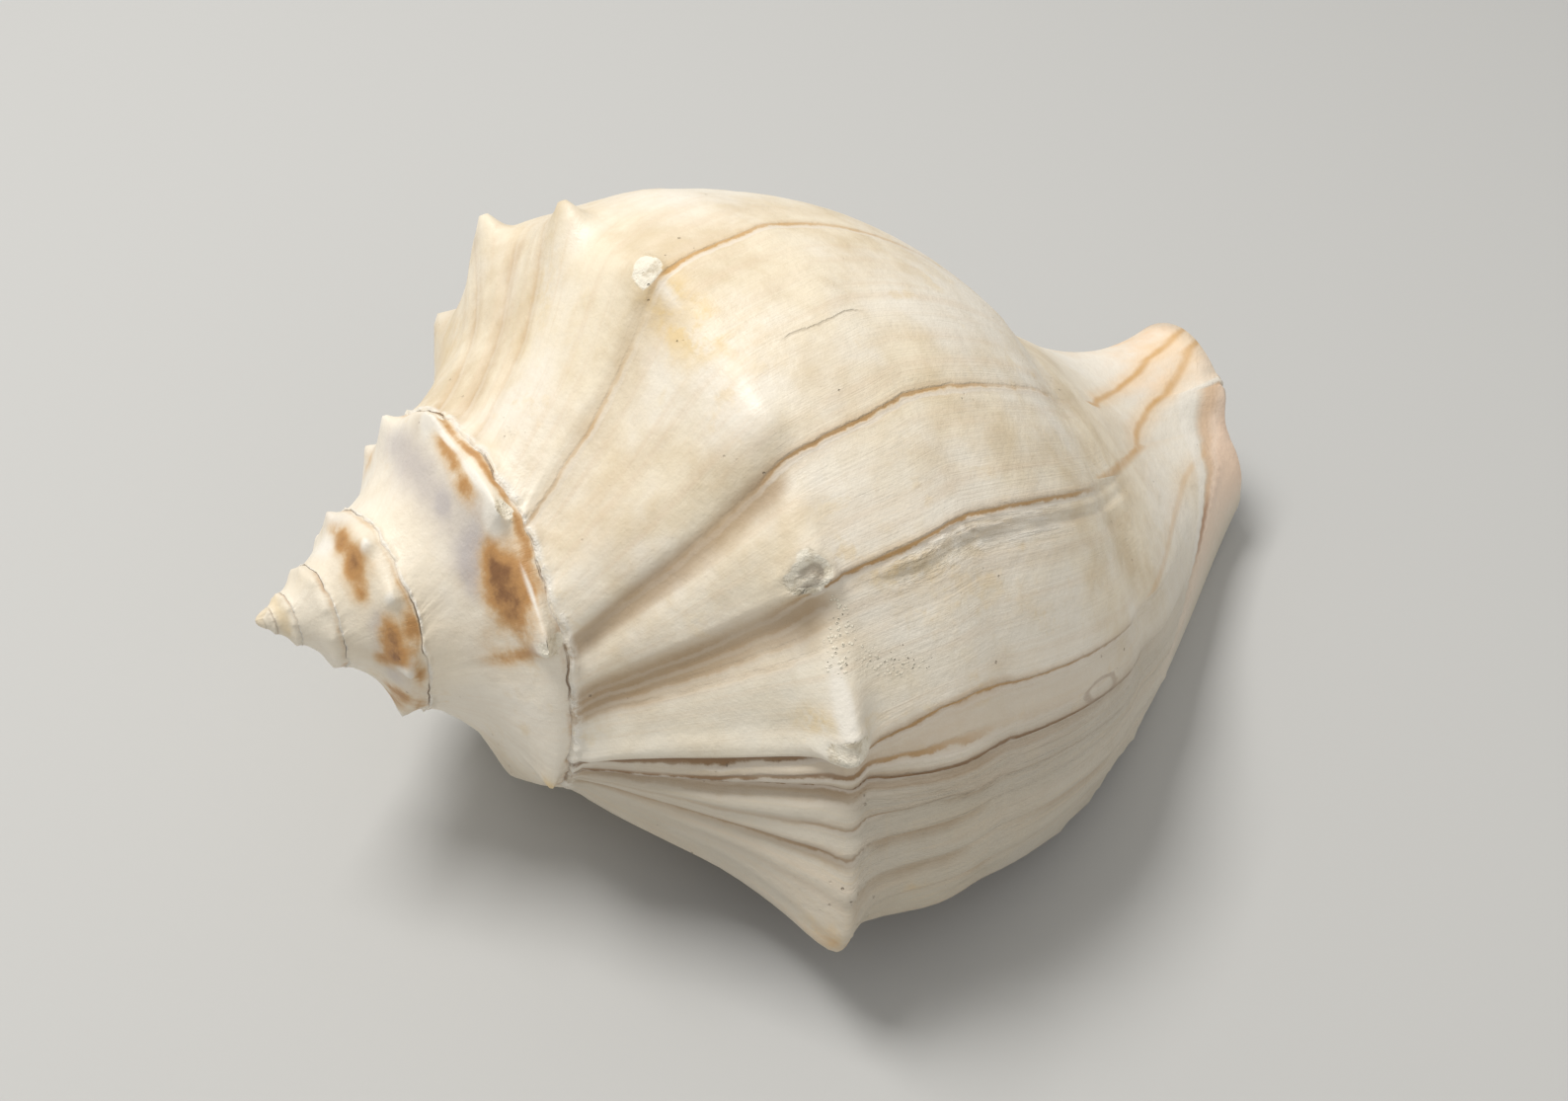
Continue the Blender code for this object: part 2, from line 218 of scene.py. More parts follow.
def inner_points(angle, row):
    """Inside of the wall: thin at the lip, closing on the pillar past the canal mouth."""
    wall = EDGE_WALL + (WALL - EDGE_WALL) * ease(angle, 0, 30)
    wall = wall / LIP_RADIUS * np.maximum(size_at(angle), 0.6)
    radius, height = upper_profile(angle, row)
    lean = np.radians(25 + 65 * ease(row, 0.7, 1.3))
    knob = 0.45 * knob_height(angle, row)
    radius = radius - wall * np.sin(lean) + knob
    height = height + wall * np.cos(lean) - 0.25 * knob
    closed = ease(angle, MOUTH - 40, MOUTH)
    pillar_r = table(END_R, angle + TURN_BACK) + CANAL_GAP
    pillar_z = table(END_Z, angle + TURN_BACK)
    end_r = (1 - closed) * (table(END_R, angle) - wall) + closed * pillar_r
    end_z = (1 - closed) * (table(END_Z, angle) - 0.01) + closed * pillar_z
    reach = table(REACH, angle) * (end_z - height)
    handle_r = (1 - closed) * (table(HANDLE_R, angle) - wall) + closed * (end_r + 0.02)
    handle_z = (1 - closed) * table(HANDLE_Z, angle) + closed * (0.72 * end_z + 0.28 * height)
    t = np.clip(row - 2.0, 0.0, 1.0)
    curve_r = bezier(t, radius, radius - 0.07 * reach, handle_r, end_r)
    curve_z = bezier(t, height, height + reach, handle_z, end_z)
    limit_r, limit_z = outer_profile(angle[:, -1:], np.linspace(2.0, 3.0, 41)[None, :])
    for k in range(len(angle)):
        nearest = np.interp(curve_z[k], limit_z[k], limit_r[k]) - wall[k]
        curve_r[k] = np.minimum(curve_r[k], nearest)
    radius = np.where(row > 2.0, curve_r, radius)
    height = np.where(row > 2.0, curve_z, height)
    behind = LEAD * closed * t
    return place(radius, height, azimuth(angle, row) - behind)


# Growth lines: each is one old lip edge.  It leaves the suture a little ahead,
# crosses the side straight and sweeps back along the canal.
SWAY_ROW = (0.0, 0.25, 0.5, 0.9, 1.3, 1.8, 2.1, 3.0)
SWAY = (-8.0, -4.0, -1.0, 0.0, 1.0, 3.0, 4.0, 4.0)
SEAT = 1.25                 # row on which the next whorl lies
FOOT = 1.6                  # row where the inside of that whorl's wall begins
CANAL_AGE = 116.0           # growth line that ends the open canal mouth
SEAT_AGE = 339.0            # last growth line before a whorl reaches its seat
HOLLOW_AGE = 420.0          # the coil is hollow back to here
SWAY_FROM = (0, 20)         # the present lip is straight, and older lines sway


def sway(row):
    return through(SWAY_ROW, SWAY, row)


def age_at(angle, row):
    """Which growth line a point belongs to, in degrees before the present lip."""
    low = np.zeros(np.broadcast(angle, row).shape)
    high = low + 2100.0
    for _ in range(34):
        age = (low + high) / 2
        sweep = np.maximum(CANAL_AGE - 0.15 * age, 90)
        sweep = sweep * np.exp(-(3 - row) / np.clip(0.0032 * age, 0.001, 0.23))
        nosed = 1.7 * np.exp(-((row - 1.02) / 0.08)**2) * (1 - ease(age, 33, 42)) * ease(age, 0, 6)
        crosses = age + sway(row) * ease(age, *SWAY_FROM) + sweep - nosed
        low = np.where(crosses < angle, age, low)
        high = np.where(crosses < angle, high, age)
    return (low + high) / 2


def bend(age, row):
    """Old lips close behind the lip bow apart, on the ramp and again low on the side."""
    on_ramp = 2.0 * (1 - ease(row, 0.15, 0.85)) * ease(age, 17, 23) * ease(age, 31, 28)
    young = np.interp(row, (1.5, 1.95), (19.0, 13.5))
    on_side = np.interp(row, (1.1, 1.45, 1.9), (0.0, 2.0, 2.8))
    on_side = on_side * ease(age, young, 22.0) * ease(age, 30, 25)
    pulled = np.interp(row, (1.15, 1.5, 1.7, 2.05), (0.0, 1.8, 1.6, 0.0))
    pulled = pulled * ease(age, 28.5, 33) * ease(age, 38, 34)
    return age + on_ramp + on_side - pulled


# columns follow the growth lines and crowd together near the lip, at the strong
# lines and at the broken knobs; first line, last line and degrees between two
SPACING = ((0.0, 16.0, 0.8), (16.0, 33.4, 0.5), (33.0, SEAT_AGE, 2.0))
STEP_LINES = (16.0, 20.0, 26.0, 31.0, 53.0, 69.0, 102.0)
BROKEN_KNOBS = (33.0, 54.0, 103.0)
TIGHTEST = 0.3
columns = {0.0, 0.4, CANAL_AGE, SEAT_AGE}
for begin, end, step in SPACING:
    columns |= set(np.round(np.arange(begin, end, step), 2))
for line in STEP_LINES:
    columns |= {line - 0.5, line, line + 0.4, line + 0.9}
for knob in BROKEN_KNOBS:
    columns |= {knob + 0.6 * k for k in range(-6, 7)}
first = [0.0]
for value in sorted(columns)[1:-1]:
    near = min(abs(value - CANAL_AGE), SEAT_AGE - value)
    if value == CANAL_AGE or (value - first[-1] > TIGHTEST and near > TIGHTEST):
        first.append(value)
TURN = len(first)                                   # columns from a whorl to its seat
CANAL = first.index(CANAL_AGE)
ages = list(first)
while ages[-1] < OLDEST:
    below = ages[len(ages) - TURN]
    start = below + SWAY[0] * ease(below, *SWAY_FROM)
    ages.append(start + TURN_BACK - sway(np.array(SEAT)))
ages = np.array(ages)[:, None]
LAST_LINE = len(ages) - 1
HOLLOW = int(np.searchsorted(ages[:, 0], HOLLOW_AGE))

rows = np.concatenate([
    (0.0, 0.012, 0.026, 0.045), np.linspace(0.07, 0.78, 12), np.linspace(0.82, 1.15, 12),
    (1.19, 1.225, SEAT), (1.34, 1.43, 1.52, FOOT), np.linspace(1.68, 2.0, 5),
    np.linspace(2.0, 3.0, 38)[1:],
])
SEAT_ROW = int(np.argmin(abs(rows - SEAT)))
FOOT_ROW = int(np.argmin(abs(rows - FOOT)))
LAST_ROW = len(rows) - 1
rows = rows[None, :]
angles = ages + sway(rows) * ease(ages, *SWAY_FROM)
# further back the lower ends are shifted so that pillar and cavity meet line for line
lower_end = ease(rows[0], FOOT, 2.4)
for i in range(TURN, min(TURN + HOLLOW + 1, LAST_LINE + 1)):
    shift = angles[i - TURN, LAST_ROW] + TURN_BACK - angles[i, LAST_ROW]
    angles[i] += shift * lower_end
shift = angles[0, LAST_ROW] + TURN_BACK - ages[TURN, 0] - SWAY[-1]
for i in range(TURN):
    angles[i] += shift * ease(ages[i, 0], 250, SEAT_AGE) * lower_end
grown_rows = rows + 0 * angles


def lattice_noise(x, y, seed):
    """Smooth random height between -1 and 1 on a unit lattice."""
    cycle = 64
    heights = np.random.RandomState(seed).uniform(-1, 1, (cycle, cycle))
    x0 = np.floor(x).astype(int)
    y0 = np.floor(y).astype(int)
    u = x - x0
    v = y - y0
    u = u * u * (3 - 2 * u)
    v = v * v * (3 - 2 * v)
    x0 = x0 % cycle
    x1 = (x0 + 1) % cycle
    near, far = (heights[x0, y1 % cycle] * (1 - u) + heights[x1, y1 % cycle] * u
                 for y1 in (y0, y0 + 1))
    return near * (1 - v) + far * v


# Relief.  Old lip edges: growth line, groove on the ramp in mm, its half width,
# step on the side, length over which the step heals, crispness on the ramp
STRONG_LINE = 53.0
OLD_LIPS = (
    (158, 0.45, 4, 0.1, 4, 1.5), (146, 0.6, 3, 0.14, 4, 1.2), (134, 0.45, 2.6, 0.1, 4, 1.2),
    (102, 0.75, 4.5, 0.14, 4, 1.8), (69, 1, 2.4, 0.24, 5, 1.5), (53, 1.15, 3.4, 0.36, 6, 1.3),
    (31, 1.05, 1, 0.6, 4, 0.35), (26, 1.45, 1.5, 1, 3, 0.35), (20, 0.35, 1.2, 0.8, 3, 0.8),
    (16, 0.7, 1.6, 1.1, 3.5, 0.5), (10.5, 0.3, 1.8, 1, 3.5, 0.8), (5.5, 0.2, 1.8, 0.9, 3.5, 0.8),
)
# lesser ones crowd behind the lip: growth line, step in mm
LESSER_LIPS = (
    (50.6, 0.34), (48, 0.27), (45.6, 0.17), (43, 0.1), (28.4, 0.25), (24, 0.2), (18.2, 0.16),
    (13.4, 0.28), (8, 0.25), (2.6, 0.25), (127, 0.2), (140, 0.16), (152, 0.16),
)
# furrow where the side turns into the canal: growth angle, row
FURROW = ((0, 2.30), (20, 2.36), (50, 2.36), (90, 2.40), (140, 2.55), (340, 2.6))
# line that borders the margin of the canal: growth angle, row
MARGIN = ((0, 2.2), (22, 2.55), (30, 2.70), (37, 2.80), (45, 2.88), (60, 2.935), (88, 2.965),
          (108, 2.98), (130, 3.2))
CANAL_ROW_MM = 80           # length of one row along the canal at the lip
MM_PER_DEGREE = np.radians(1) * LIP_RADIUS * 1000
FAR = -60.0                 # a distance in mm out of reach of every mark


def margin_gap(angle, row):
    """Distance in mm outwards from the line that borders the margin of the canal."""
    gap = (row - np.interp(angle, *zip(*MARGIN))) * CANAL_ROW_MM
    return np.where((angle < MARGIN[-1][0]) & (row > 2), gap, FAR)


def ledge(x, heal, lead, swell, soft):
    """Across an old lip edge: a drop that heals behind it, a swelling before it."""
    drop = -np.exp(-np.maximum(x, 0) / heal) * ease(x, -soft, soft)
    return drop + swell * np.exp(-np.maximum(-x, 0) / lead) * ease(-x, -soft, soft)


def relief(age, angle, row, grain):
    """Height of the small forms over the plain wall, in mm; grain is degrees of growth per mm."""
    total = 0.0 * age
    age = bend(age, row)
    side = ease(row, 0.9, 1.15)
    low_end = 1 - ease(row, 2.35, 2.7)
    for at, groove, width, step, heal, crisp in OLD_LIPS:
        x = (at - age) / grain
        on_ramp = -groove * np.exp(-(np.maximum(x - 0.7 * width, 0) / width)**2)
        on_ramp = on_ramp * ease(x, -crisp, crisp)
        on_ramp = on_ramp + 0.40 * groove * np.exp(-((x + 1.9 * width) / (1.5 * width))**2)
        on_side = step * ledge(x, heal, 2.5, 0.3, 0.35)
        total = total + on_ramp * (1 - side) * ease(row, 0.02, 0.15) + on_side * side * low_end
    for at, step in LESSER_LIPS:
        wave = ledge((at - age) / grain, 1.3, 1.3, 0.7, 0.5)
        comes_and_goes = ease(lattice_noise(row * 3.5 + at, 0.3 * at, 3), -0.6, 0.4)
        fades = 1 - ease(row, 2.2, 2.6)
        total = total + step * (0.5 + 1.2 * side) * wave * comes_and_goes * fades
    # flaking layers just under the strong line on the side
    x = (STRONG_LINE - age) / grain
    flaking = ease(x, 0.2, 0.7) * ease(x, 3.4, 2.2) * ease(row, 1.35, 1.6) * ease(row, 2.25, 2.1)
    total = total + 0.45 * flaking * lattice_noise(angle * 1.1, row * 34, 31)
    # uneven wear: broad lumps, then small ones
    size = size_at(angle)
    total = total + 0.35 * lattice_noise(angle * 0.05, row * 2.6, 7) * size
    off_canal = 1 - 0.85 * ease(row, 2.2, 2.6)
    total = total + 0.12 * lattice_noise(angle * 0.20, row * 8.0, 8) * size * off_canal
    off_canal = 1 - ease(row, 2.2, 2.5)
    total = total + 0.06 * lattice_noise(age * 0.55, row * 0.7, 6) * size_at(age) * off_canal
    # furrow where the side turns into the canal, and the one inside its margin
    furrow = through(*zip(*FURROW), np.clip(angle, FURROW[0][0], FURROW[-1][0]))
    furrow = np.exp(-((row - furrow) / 0.05)**2)
    total = total - 0.9 * furrow * ease(angle, 4, 25) * ease(angle, 170, 110)
    gap = margin_gap(angle, row)
    total = total + 0.50 * np.exp(-((gap - 2.8) / 1.9)**2)
    return total + 0.35 * np.exp(-((gap + 3.2) / 1.8)**2)


# broken tips: growth angle, row, half length and half width in mm, depth in mm
BROKEN = (
    (33.6, 0.99, 1.5, 2, 0.8), (55.2, 0.975, 2.2, 2.9, 1.2), (104.6, 0.99, 1.9, 1.8, 0.5),
    (401.5, 1.09, 1.6, 1.9, 0.5), (438.5, 1.1, 1.2, 1.2, 0.4), (481, 1.13, 1, 1.1, 0.3),
)
RAMP_ROW_MM = 30.0          # length of one row at the lip, above and below the shoulder
SIDE_ROW_MM = 24.0


def broken_tips(angle, row):
    """For each broken tip: mm along the shoulder and across it, reach from its middle."""
    for at, across, length, width, depth in BROKEN:
        along = (angle - at) * MM_PER_DEGREE * size_at(at)
        up = (row - across) * np.where(row < across, RAMP_ROW_MM, SIDE_ROW_MM) * size_at(at)
        ragged = 1 + 0.30 * lattice_noise(along * 0.6 + at, up * 0.6, 11)
        reach = np.hypot(along / length, up / width) / ragged
        rough = 0.70 + 0.40 * lattice_noise(along * 0.9 + at, up * 0.9, 12) - 0.35 * along / length
        yield reach, rough, depth


def near_break(angle, row, spread):
    """1 inside the broken tips, 0 away from them."""
    total = 0.0 * angle
    for reach, _, _ in broken_tips(angle, row):
        total = total + 1 - ease(reach, 0.8, spread)
    return total


def broken_relief(angle, row):
    """Craters of the broken tips in mm, deepest to one side, with a thin rim."""
    total = 0.0 * angle
    for reach, rough, depth in broken_tips(angle, row):
        floor = 1 - ease(reach, 0.5, 0.95)
        rim = np.exp(-((reach - 1.0) / 0.20)**2)
        total = total - depth * floor * rough + 0.30 * depth * rim
    return total


# noses of the knobs: growth angle, row, height in mm, degrees it climbs over on
# the older side, degrees it drops over on the younger side, half width in mm;
# all for a shell of lip size
NOSES = [
    (2.6, 1, 4.4, 11, 3.6, 4.4), (32.8, 0.985, 5, 8.5, 1.2, 2.2), (55.2, 0.97, 1.7, 8, 3.2, 3.8),
    (75.5, 1.04, 1.6, 7, 4, 4.8), (104.8, 0.99, 2, 6, 2.6, 3), (128, 1, 4.6, 6, 4.5, 4),
    (154.5, 1, 4.8, 7, 3.2, 3.2), (184.5, 1, 3.6, 7, 4, 3.6), (215, 1, 2.4, 8, 4.5, 3.6),
    (246, 1, 2.2, 8, 4.5, 3.6), (278, 1, 2.2, 8, 4.5, 3.4), (310, 1, 1.6, 8, 4.5, 3.2),
    (352.5, 1.04, 4.8, 15, 3.8, 3.6), (401, 1.05, 7.3, 13, 3, 2.8), (439, 1.03, 5, 15, 4, 3),
    (481, 1.06, 4.6, 11, 6, 3), (514, 1, 4.4, 8, 4, 3.2), (537, 1, 4, 8, 4, 3.2),
    (570, 1, 3.2, 9, 4.5, 3.2), (605, 1, 3.2, 9, 4.5, 3.2), (640, 1, 3.2, 9, 4.5, 3.2),
    (682, 1, 5.4, 12, 4, 3), (737, 1, 5.4, 11, 4, 3.2), (781, 1, 4.6, 10, 4.5, 3.2),
    (815, 1, 4.6, 10, 4.5, 3.2), (870, 1, 4.6, 10, 4.5, 3.2),
]
NOSES += [(angle, 1.0, 2.4, 10.0, 5.5, 3.4) for angle in OLD_KNOBS]
# rows per degree that a nose drifts up the ramp
DRIFT = {55.2: -0.004, 75.5: -0.004, 104.8: -0.012}
NOSE_SPREAD = 0.22          # mm it widens per degree on the older side
# hills under the noses: mm in a row above and below the shoulder, half width in
# mm, degrees on the younger side, share of the solid's knob on the body and spire
HILL_ROW_MM = (32.0, 22.0)
HILL_WIDE = 9.0
HILL_NEW_SIDE = 7.0
HILL_SHARE = (0.40, 0.22)
SPIRE_KNOBS = 330           # growth angle of the youngest knob of the spire


def knob_form(angle, row):
    """Knobs: a low hill, and on it a nose with a long old side and a steep young one."""
    total = 0.0 * angle
    v = (row - 1.0) * np.where(row < 1.0, *HILL_ROW_MM)
    for at, height in KNOBS:
        x = angle - at
        share = HILL_SHARE[at > SPIRE_KNOBS]
        slope = np.where(x > 0, KNOB_OLD_SIDE, HILL_NEW_SIDE)
        hill = np.exp(-(x / slope)**2 - (v / HILL_WIDE)**2)
        total = total + share * height * size_at(at) * hill
    for at, across, tall, older, younger, wide in NOSES:
        x = angle - at
        v = (row - across - DRIFT.get(at, 0.0) * np.maximum(x, 0)) * RAMP_ROW_MM
        climb = np.where(x > 0, np.exp(-np.abs(x / older)**1.4), np.exp(-np.abs(x / younger)**2.2))
        width = wide + NOSE_SPREAD * np.maximum(x, 0)
        nose = climb * np.exp(-np.abs(v / width)**1.7)
        total = total + tall / (LIP_RADIUS * 1000) * size_at(at) * nose
    return total


def normals_of(grid):
    normal = np.cross(np.gradient(grid, axis=0), np.gradient(grid, axis=1))
    return normal / np.maximum(np.linalg.norm(normal, axis=-1, keepdims=True), 1e-12)


line_age = age_at(angles, rows)
radius, height = outer_profile(angles, rows)
turn = azimuth(angles, rows)
plain = place(radius, height, turn)
knob = knob_form(angles, grown_rows)
knobs = place(radius + knob, height - 0.25 * knob, turn) - plain
# between the knobs the shoulder is worn round; the lengths are those of one line
SAMPLE = 60
ROUNDING = 9.0              # mm
down = np.linalg.norm(np.diff(plain[SAMPLE], axis=0), axis=1)
down = np.concatenate([[0.0], np.cumsum(down)]) * 1000
blur = np.exp(-((down[:, None] - down[None, :]) / ROUNDING)**2) * np.gradient(down)[None, :]
blur = blur / blur.sum(axis=1, keepdims=True)
rounded = np.einsum("jk,ikc->ijc", blur, plain)
near_shoulder = ease(rows, 0.35, 0.75) * (1 - ease(rows, 1.35, 1.9))
near_shoulder = near_shoulder * (1 - 0.45 * ease(angles, 250, SEAT_AGE))
crest_kept = 1 - 0.75 * (1 - ease(angles, 12, 36))
plain = plain + (near_shoulder * crest_kept)[..., None] * (rounded - plain)
outside = plain + knobs
# degrees of growth per millimetre
grain = 0.0
for axis in (0, 1):
    step = np.linalg.norm(np.gradient(plain, axis=axis), axis=-1) * 1000
    grain = np.hypot(grain, np.gradient(line_age, axis=axis) / np.maximum(step, 0.02))
grain = np.clip(grain, 0.6, 25.0)
out_normal = normals_of(outside)
SAMPLE_ROW = 40
middle = outside[:TURN, SAMPLE_ROW].mean(axis=0)
if out_normal[SAMPLE, SAMPLE_ROW] @ (outside[SAMPLE, SAMPLE_ROW] - middle) < 0:
    out_normal = -out_normal
lift = relief(line_age, angles, grown_rows, grain) + broken_relief(angles, grown_rows)
# the top edge of each whorl is a crumbly bead pressed on the whorl below
bead_size = size_at(angles)**0.7
crumbs = np.clip(0.55 + 0.6 * lattice_noise(angles * 0.22, rows * 16, 21)
                 + 0.6 * lattice_noise(angles * 0.9, rows * 30, 22), 0, 1.6)
bead = 0.75 * np.exp(-((rows - 0.032) / 0.024)**2) * crumbs * bead_size
groove = 0.22 * np.exp(-((rows - SEAT) / 0.05)**2) * ease(angles, 320, 345) * bead_size
lift = lift + bead - groove
outside = outside + out_normal * lift[..., None] / 1000
inside = inner_points(angles[:HOLLOW + 1], grown_rows[:HOLLOW + 1])

# the suture wanders a little up and down the whorl below
wander = (1.1 * lattice_noise(angles * 0.085, 0 * rows + 2.5, 25)
          + 0.5 * lattice_noise(angles * 0.31, 0 * rows + 7.5, 26))
down_row = np.gradient(outside, axis=1)
down_row /= np.linalg.norm(down_row, axis=-1, keepdims=True)
wander = wander * size_at(angles) * 1.4 * ease(angles, 335, 350)
wander = wander * ease(rows, 1.0, SEAT) * ease(rows, 1.5, SEAT)
outside = outside + down_row * wander[..., None] / 1000

# the top of each whorl follows the whorl it is laid on
fade = (1 - ease(rows[0], 0.0, 0.5))[:, None]
for i in range(LAST_LINE - TURN, -1, -1):
    outside[i] += fade * (outside[i + TURN, SEAT_ROW] - outside[i, 0])
start = int(np.searchsorted(rows[0], 0.55))
share = (rows[0, :start] / rows[0, start])[:, None]
for i in range(HOLLOW + 1):
    foot = outside[i + TURN, FOOT_ROW]
    inside[i, :start] = foot + (inside[i, start] - foot) * share

# Stains soaked into the surface: growth angle, row, reach in degrees, reach in
# rows, strength
BROWN = (
    (469, 0.99, 8, 0.068, 0.9), (459, 0.94, 7, 0.085, 0.9), (451, 0.9, 6, 0.08, 0.8),
    (474, 1.17, 9, 0.07, 1.1), (459, 1.17, 9, 0.06, 1.1), (446, 1.2, 8, 0.05, 0.8),
    (431, 0.86, 6, 0.08, 0.85), (423, 0.8, 7, 0.12, 0.75), (431, 1.19, 9, 0.06, 1),
    (421, 1.12, 8, 0.08, 0.75), (415, 1.02, 8, 0.08, 0.4), (417, 0.82, 9, 0.14, 0.6),
    (411, 0.9, 9, 0.12, 0.55), (423, 0.98, 10, 0.11, 0.45), (399, 0.8, 3, 0.2, 1),
    (396, 0.66, 3, 0.14, 0.4), (405, 0.6, 6, 0.12, 0.3), (408, 1.21, 16, 0.03, 0.4),
    (420, 0.88, 18, 0.24, 0.22), (797, 0.62, 10, 0.15, 0.8), (817, 0.67, 11, 0.18, 1.1),
    (840, 0.77, 12, 0.17, 1.1), (858, 0.84, 10, 0.13, 0.7), (815, 0.8, 26, 0.24, 0.35),
    (763, 0.8, 9, 0.15, 1), (749, 0.85, 8, 0.17, 1.1), (762, 1.14, 11, 0.1, 0.9),
    (735, 1.12, 10, 0.1, 1), (742, 0.62, 8, 0.14, 0.7), (690, 0.78, 10, 0.2, 0.9),
    (709, 0.84, 8, 0.18, 1.1), (700, 1.15, 14, 0.08, 0.8), (785, 1.18, 26, 0.05, 0.5),
    (840, 1.2, 30, 0.04, 0.4), (750, 0.9, 22, 0.28, 0.3), (930, 1.2, 60, 0.06, 0.45),
    (1090, 1.18, 90, 0.08, 0.4), (560, 1.15, 30, 0.08, 0.5), (620, 0.9, 22, 0.2, 0.6),
    (655, 1.1, 20, 0.12, 0.6), (535, 0.85, 9, 0.12, 0.4), (508, 1.16, 9, 0.06, 0.5),
    (3.8, 0.95, 2.2, 0.05, 0.55), (1.6, 1.06, 1.2, 0.04, 0.55), (5.6, 1.42, 1.6, 0.05, 0.4),
)
LAVENDER = (
    (458, 0.7, 22, 0.24, 0.7), (486, 0.72, 22, 0.24, 0.7), (459, 0.71, 4, 0.06, 0.8),
    (436, 0.74, 9, 0.16, 1), (428, 0.62, 9, 0.1, 0.7), (421, 0.98, 12, 0.13, 0.7),
    (505, 0.85, 14, 0.16, 0.6), (752, 0.7, 14, 0.18, 0.9), (772, 0.7, 10, 0.2, 0.7),
    (746, 1, 9, 0.12, 0.7), (860, 0.95, 22, 0.2, 0.5), (728, 0.8, 12, 0.2, 0.7),
    (590, 0.7, 40, 0.25, 0.6), (400, 0.55, 12, 0.2, 0.35), (444, 0.95, 8, 0.1, 0.4),
    (960, 0.75, 60, 0.25, 0.4), (275, 0.6, 25, 0.22, 0.45), (240, 1.5, 30, 0.3, 0.25),
)
OCHRE = (
    (97, 1.05, 6, 0.14, 1), (91, 0.98, 6, 0.14, 0.8), (99, 0.93, 4, 0.08, 0.8),
    (86, 1.18, 9, 0.2, 0.5), (37, 0.885, 2.5, 0.07, 1.2), (52, 1.62, 6, 0.35, 0.35),
    (47, 1.95, 6, 0.3, 0.45), (42, 1.5, 5, 0.4, 0.35), (128, 0.7, 9, 0.28, 0.7),
    (112, 0.72, 6, 0.25, 0.5), (6, 1.43, 2, 0.06, 1), (4, 0.94, 2.5, 0.06, 1),
    (351, 1.05, 5, 0.09, 1.6), (60, 0.5, 10, 0.2, 0.35), (170, 0.6, 14, 0.3, 0.6),
    (205, 1.3, 14, 0.3, 0.5), (290, 1.5, 25, 0.3, 0.4), (1500, 0.6, 260, 0.6, 0.8),
    (880, 0.9, 20, 0.15, 0.5), (140, 1.6, 30, 0.4, 0.3), (80, 0.6, 6, 0.2, 0.35),
    (60, 1.5, 6, 0.15, 0.3), (52, 1.4, 3, 0.2, 0.6), (1.5, 1.06, 1.5, 0.05, 1),
)
CHALK = (
    (39, 0.985, 6, 0.05, 1.1), (481, 1, 5, 0.12, 1), (438, 0.97, 6, 0.1, 1.1),
    (401, 1, 4, 0.1, 0.8), (470, 1.05, 8, 0.045, 1.1), (452, 1.02, 9, 0.045, 1.2),
    (415, 1.06, 9, 0.04, 0.9), (490, 1.12, 6, 0.05, 0.8), (515, 1, 5, 0.12, 0.8),
    (681, 1, 5, 0.16, 0.9), (738, 0.95, 5, 0.14, 0.9), (781, 0.97, 5, 0.12, 0.9),
    (815, 1, 5, 0.12, 0.9), (76, 1, 7, 0.12, 0.35), (900, 0.5, 60, 0.3, 0.6),
    (860, 0.6, 16, 0.2, 0.6), (380, 0.8, 14, 0.3, 0.6), (430, 0.4, 16, 0.2, 0.5),
    (131, 2.985, 4, 0.02, 1.2), (100, 1, 5, 0.05, 0.7), (348, 0.95, 8, 0.08, 0.5),
)
# patches of tiny pits and crumbs: same measures
PITTED = (
    (46.5, 1.06, 3, 0.12, 1), (42.5, 1.24, 2.5, 0.16, 0.9), (40, 1.42, 2.2, 0.14, 0.9),
    (43.5, 1, 2, 0.06, 0.8), (50.5, 1.1, 2, 0.08, 0.7), (438, 1.12, 5, 0.1, 0.9),
    (481, 1.16, 5, 0.08, 0.7), (350, 1.22, 14, 0.03, 0.7), (118, 0.3, 16, 0.2, 0.4),
    (200, 1.2, 30, 0.2, 0.6), (150, 2, 14, 0.3, 0.5),
)
MOST_STAIN = 1.8


def stain(spots):
    total = 0.0 * angles
    for at, across, length, width, strength in spots:
        near = np.exp(-((angles - at) / length)**2 - ((grown_rows - across) / width)**2)
        total = total + strength * near
    return np.clip(total, 0, MOST_STAIN)


